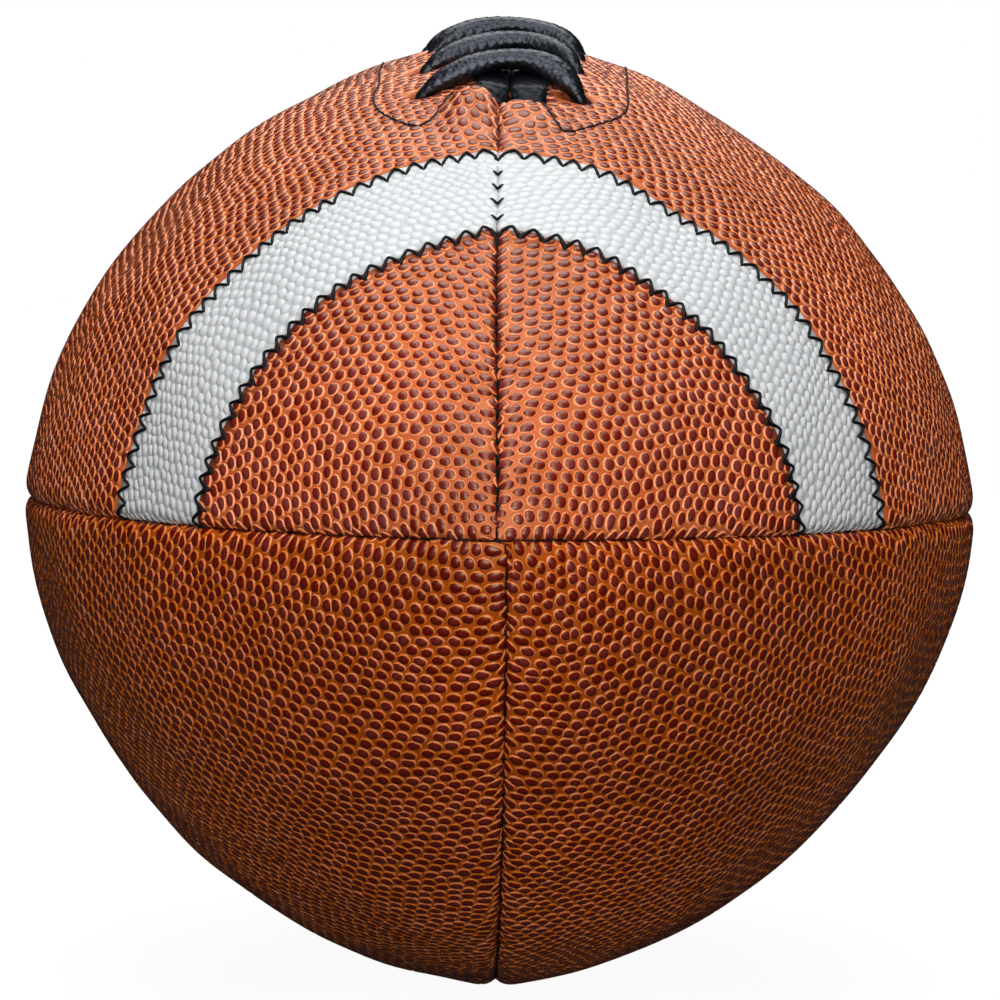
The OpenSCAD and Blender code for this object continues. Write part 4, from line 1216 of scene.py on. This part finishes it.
def half_stitches(seed, angle, side, laced, left, stitch):
    """The half of each stitch that lies on one panel: a short arm that leans away from the nearer nose."""
    pitch, far_pitch, long, lean, thick = stitch
    rng = np.random.default_rng(seed)
    turn = float(s_at(STRIPE_NEAR))
    top = laced and side > 0
    u = np.linspace(0, 1, len(ARM_THICKNESS))
    spots = [*np.arange(turn + pitch / 2, S_TABLE[-1] - NOSE_BARE, pitch),
             *np.arange(turn - far_pitch / 2, 0, -far_pitch)]
    parts = []
    for s in sorted([-v for v in spots] + spots):
        y = float(y_at(s))
        if top and (abs(y) < SLOT_START + 1 or 0 < abs(y) - STRIPE_FAR < FAR_BARE):
            continue
        kind = "middle" if abs(s) <= turn else "top" if top else "nose"
        start, longer, slant, heights = ARMS["white" if top and STRIPE_FAR < abs(y) < STRIPE_NEAR else kind]
        arm = longer * min(long, ARM_HEIGHT_SHARE * float(seam_height(y))) * rng.uniform(*ARM_LENGTHS)
        yy = y - math.copysign(1, y) * lean * arm * u * rng.uniform(*ARM_SLANTS) * slant
        at, out = leather(yy, side * (reach(yy, side, laced) + start - arm * u), laced)
        parts.append(tube(at + out * np.array(heights)[:, None], out, thick * ARM_THICKNESS, 5))
    return turned_parts(parts, angle, left)


def seam_core(angle, spans):
    """The thread that runs along the bottom of a seam's groove, with a knot at each stitch."""
    parts = []
    for low, high in spans:
        y = np.linspace(low, high, int((high - low) / CORE_STEP))
        height, climb = seam_height(y), seam_slope(y)
        out = np.stack([np.ones_like(y), 0 * y, -climb], 1) / np.sqrt(1 + climb ** 2)[:, None]
        under = CORE_DEPTH + CORE_SUNK * (np.abs(np.abs(y) - STRIPE_MIDDLE) < STRIPE_W / 2)
        at = np.stack([height, 0 * y, y], 1) - out * (under * rounding(y)[1])[:, None]
        knots = np.abs(np.sin(s_at(y) * math.pi / CORE_PITCH)) ** 8
        parts.append(tube(at, out, (CORE_RADIUS + CORE_KNOT * knots) * np.minimum(1, height / CORE_THINS)))
    return turned_parts(parts, angle)


def nose_knots():
    """The knot in each nose, where the four seams meet."""
    along = np.linspace(-1, 1, 7)
    stops = np.stack([0 * along, HALF_LENGTH - KNOT_DEPTH + KNOT_HALF * along, 0 * along], 1)
    at, faces = tube(stops, [[0.0, 0, 1]] * len(stops), KNOT_RADIUS * np.sqrt(1.02 - along ** 2), 8)
    return [(at, faces), (at * [1, -1, 1], turned_over(faces, True))]


def facing_line(side):
    """The stitch line round a facing: distance from the top seam and place along the ball."""
    middle = [(0.91 * FACING_W, -share * SLOT_END) for share in (0.45, 0.3, 0.15, 0.0)]
    rear = FACING_FRONT[-side] + middle[:-1]
    return FACING_FRONT[side] + middle + [(a, -b) for a, b in rear[::-1]]


def facing_stitches(side):
    """The thread round a facing, which dips into the leather between its stitches."""
    dense = smoothed(facing_line(side), 8)
    even = np.arange(0, travelled(dense)[-1], FACING_STEP)
    x, y = (np.interp(even, travelled(dense), dense[:, k]) for k in (0, 1))
    heights = np.where(np.arange(len(even)) % 4 == 0, *FACING_HEIGHTS)
    stops = [top_place(a, b, -height) for a, b, height in zip(x, y, heights)]
    at, faces = tube(stops, [top_out(a, b) for a, b in zip(x, y)], FACING_RADIUS)
    return at * [side, 1, 1], turned_over(faces, side < 0)


class FOOTBALL_OT_threads(bpy.types.Operator):
    """Sew the seams, the stripes and the facings"""
    bl_idname = "football.threads"
    bl_label = "Threads"

    def execute(self, context):
        sizes = context.scene.football_sizes
        thread = waxed_thread(context.scene.football_colours)
        for end, side in itertools.product(ENDS, SIDES):
            parts = [zigzag(sizes.zigzag_pitch, **kind) for kind in (HEAVY_ZIGZAG, FINE_ZIGZAG)]
            parts = turned_parts(parts, RIGHT_LACE, side == "left", end == "rear")
            thread_piece(f"zigzag_{end}_{side}", thread, parts, f"stripe_thread_{end}_{side}")
        tip = CORE_END * HALF_LENGTH
        whole = [(-tip, tip)]
        pitch = sizes.seam_pitch
        side_stitch = (0.86 * pitch, pitch, 0.95, 0.8, 0.14)
        # Each seam: its place round the ball, its open spans, the edges that meet in it, and its stitches'
        # pitch near the nose and elsewhere, length, lean and thickness
        seams = {
            "top": (90, [(-tip, -SLOT_START), (SLOT_START, tip)],
                    [(RIGHT_LACE, 1, True, False), (RIGHT_LACE, 1, True, True)],
                    (0.95 * pitch, 1.55 * pitch, 1.3, 1.1, 0.19)),
            "right": (0, whole, [(RIGHT_LACE, -1, True, False), (RIGHT_BACK, 1, False, False)], side_stitch),
            "left": (180, whole, [(RIGHT_LACE, -1, True, True), (RIGHT_BACK, 1, False, True)], side_stitch),
            "bottom": (-90, whole, [(RIGHT_BACK, -1, False, False), (RIGHT_BACK, -1, False, True)],
                       (1.5 * pitch, 1.5 * pitch, 1.35, 0.45, 0.18)),
        }
        for k, (name, (angle, spans, edges, stitch)) in enumerate(seams.items()):
            parts = seam_core(math.radians(angle), spans) + (nose_knots() if name == "top" else [])
            for n, edge in enumerate(edges):
                parts += half_stitches(10 * k + n, *edge, stitch)
            thread_piece(f"seam_stitches_{name}", thread, parts, f"seam_thread_{name}")
        for side, name in ((-1, "left"), (1, "right")):
            thread_piece(f"facing_stitches_{name}", thread, [facing_stitches(side)], f"facing_thread_{name}")
        return {"FINISHED"}


class FOOTBALL_OT_inside(bpy.types.Operator):
    """Finish the linings, facings, bladder and valve"""
    bl_idname = "football.inside"
    bl_label = "Linings, facings, bladder and valve"

    def execute(self, context):
        finishes = (
            (split_leather(), ("facing_left", "facing_right", "lace_tongue")),
            (bladder_rubber(), ("bladder",)),
            (valve_rubber(), ("valve_boot", "valve_core")),
            (lining_cloth(), [f"lining_{row}_{side}" for row in ("lace", "back") for side in SIDES]),
        )
        for material, names in finishes:
            for name in names:
                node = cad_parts[name]
                if not node.material_slots:
                    node.data.materials.append(material)
                for slot in node.material_slots:
                    slot.material = material
        return {"FINISHED"}


# Stage: camera, floor, world and lamps, in metres, radians and the photograph's pixels
FOCAL_PX = 4288.0
IMAGE_PX = 1000.0
CAMERA_AWAY = 0.8
CAMERA_LIFT = 0.0342
CAMERA_ROLL = 0.0125
BALL_AT_PX = (498.55, 509.5)
LAMPS_AIM = Vector((0, 0, 0.09))
# Place and size of each lamp
LAMPS = {"Overhead": ((0.0, 0.3, 1.38), 1.6), "Front high": ((0.0, -0.8, 0.85), 0.6),
         "Front low": ((0.0, -0.8, 0.1), 0.45)}
FRONT_HIGH_SHARE = 1.25
FLOOR_SIZE = 8.0
WHITE = (1, 1, 1, 1)
# Share of the glossy rays that see the white floor, and share of the fill that they miss
GLOSSY_FLOOR_SHARE = 0.03
GLOSSY_FILL_SHARE = 0.8


def aim_camera():
    """The camera looks along the ball, a little from above, with the ball's middle at its place."""
    forward = Vector((0, math.cos(CAMERA_LIFT), -math.sin(CAMERA_LIFT)))
    level, rise = Vector((1, 0, 0)), Vector((0, math.sin(CAMERA_LIFT), math.cos(CAMERA_LIFT)))
    right = math.cos(CAMERA_ROLL) * level + math.sin(CAMERA_ROLL) * rise
    up = -math.sin(CAMERA_ROLL) * level + math.cos(CAMERA_ROLL) * rise
    at = Vector((0, 0, REST * MM)) - forward * CAMERA_AWAY
    x, y = ((place - IMAGE_PX / 2) / FOCAL_PX for place in BALL_AT_PX)
    forward = (forward - x * right + y * up).normalized()
    right = forward.cross(up).normalized()
    up = right.cross(forward)
    data = bpy.data.cameras.new("Camera")
    data.lens = FOCAL_PX / IMAGE_PX * data.sensor_width
    data.clip_start = 0.05
    data.clip_end = 50
    camera = bpy.data.objects.new("Camera", data)
    bpy.context.scene.collection.objects.link(camera)
    camera.matrix_world = Matrix.Translation(at) @ Matrix((right, up, -forward)).transposed().to_4x4()
    bpy.context.scene.camera = camera


def add_lamp(name, power):
    """A round lamp that faces the ball and isn't seen by the camera."""
    at, size = LAMPS[name]
    data = bpy.data.lights.new(name, "AREA")
    data.shape = "DISK"
    data.size = size
    data.energy = power
    lamp = bpy.data.objects.new(name, data)
    lamp.location = at
    lamp.rotation_mode = "QUATERNION"
    lamp.rotation_quaternion = (LAMPS_AIM - Vector(at)).to_track_quat("-Z", "Y")
    lamp.visible_camera = False
    bpy.context.scene.collection.objects.link(lamp)


def paper_floor():
    # Matt white paper: the camera sees it as the plain white ground with the ball's shadow on it, and other
    # rays see a dark one, so that it throws no light up on the ball
    material = bpy.data.materials.new("Matt white paper")
    material.use_nodes = True
    tree = material.node_tree
    tree.nodes.clear()
    rays = add_node(tree, "LightPath")
    seen = add_node(tree, "Math", {
        0: (rays, "Is Glossy Ray"), 1: GLOSSY_FLOOR_SHARE, 2: (rays, "Is Camera Ray")},
        operation="MULTIPLY_ADD")
    seen = add_node(tree, "Math", {0: seen, 1: (rays, "Is Transmission Ray")}, operation="MAXIMUM")
    paper, shaded = (add_node(tree, "BsdfDiffuse", {"Color": (*linear(code), 1)})
                     for code in ("#565452", "#2C2622"))
    where = add_node(tree, "TexCoord")
    away = add_node(tree, "VectorMath", {0: (where, "Object")}, operation="LENGTH")
    # White everywhere but a little less near the ball, where the shadow lies
    whiter = add_node(tree, "MapRange", {
        "Value": (away, "Value"), "From Min": 0.15, "From Max": 0.7, "To Min": 0.95, "To Max": 1.0})
    glow = add_node(tree, "Emission", {"Color": WHITE, "Strength": whiter})
    both = add_node(tree, "AddShader", {0: paper, 1: glow})
    mix = add_node(tree, "MixShader", {0: seen, 1: shaded, 2: both})
    add_node(tree, "OutputMaterial", {"Surface": mix})
    return material


def studio_world(fill):
    """White to the camera, and an even fill to the ball that is weaker in its glossy rays."""
    world = bpy.data.worlds.new("Studio")
    bpy.context.scene.world = world
    world.use_nodes = True
    tree = world.node_tree
    tree.nodes.clear()
    rays = add_node(tree, "LightPath")
    seen = add_node(tree, "Math", {0: (rays, "Is Camera Ray"), 1: (rays, "Is Transmission Ray")},
                    operation="MAXIMUM")
    gloss = add_node(tree, "Math", {0: (rays, "Is Glossy Ray"), 1: -GLOSSY_FILL_SHARE * fill, 2: fill},
                     operation="MULTIPLY_ADD")
    even = add_node(tree, "Background", {"Color": WHITE, "Strength": gloss})
    white = add_node(tree, "Background", {"Color": WHITE, "Strength": 1.0})
    mix = add_node(tree, "MixShader", {0: seen, 1: even, 2: white})
    add_node(tree, "OutputWorld", {"Surface": mix})


class FOOTBALL_OT_stage(bpy.types.Operator):
    """Set the floor, the lamps and the camera"""
    bl_idname = "football.stage"
    bl_label = "Stage"

    def execute(self, context):
        look = context.scene.football_look
        select()
        bpy.ops.mesh.primitive_plane_add(size=FLOOR_SIZE)
        floor = context.object
        floor.name = "floor"
        floor.data.materials.append(paper_floor())
        studio_world(look.fill_light)
        context.scene.view_settings.view_transform = "Standard"
        add_lamp("Overhead", look.key_light)
        add_lamp("Front high", FRONT_HIGH_SHARE * look.front_light)
        add_lamp("Front low", look.front_light)
        aim_camera()
        return {"FINISHED"}


class FOOTBALL_PT_build(bpy.types.Panel):
    bl_idname = "FOOTBALL_PT_build"
    bl_label = "American football"
    bl_space_type = "VIEW_3D"
    bl_region_type = "UI"
    bl_category = "Football"

    def draw(self, context):
        for group in GROUPS:
            for name in GROUPS[group].__annotations__:
                self.layout.prop(getattr(context.scene, group), name)
        for operator in OPERATORS:
            self.layout.operator(operator.bl_idname)


GROUPS = {"football_colours": FootballColours, "football_sizes": FootballSizes, "football_look": FootballLook}
OPERATORS = (FOOTBALL_OT_panels, FOOTBALL_OT_stripes, FOOTBALL_OT_lace, FOOTBALL_OT_threads,
             FOOTBALL_OT_inside, FOOTBALL_OT_stage)
CLASSES = (*GROUPS.values(), *OPERATORS, FOOTBALL_PT_build)


def register():
    for cls in CLASSES:
        bpy.utils.register_class(cls)
    for name, group in GROUPS.items():
        setattr(bpy.types.Scene, name, bpy.props.PointerProperty(type=group))


def unregister():
    for name in GROUPS:
        delattr(bpy.types.Scene, name)
    for cls in reversed(CLASSES):
        bpy.utils.unregister_class(cls)


def main():
    register()
    bpy.ops.football.panels()
    bpy.ops.football.stripes()
    bpy.ops.football.lace()
    bpy.ops.football.threads()
    bpy.ops.football.inside()
    bpy.ops.football.stage()


if __name__ == "__main__":
    main()
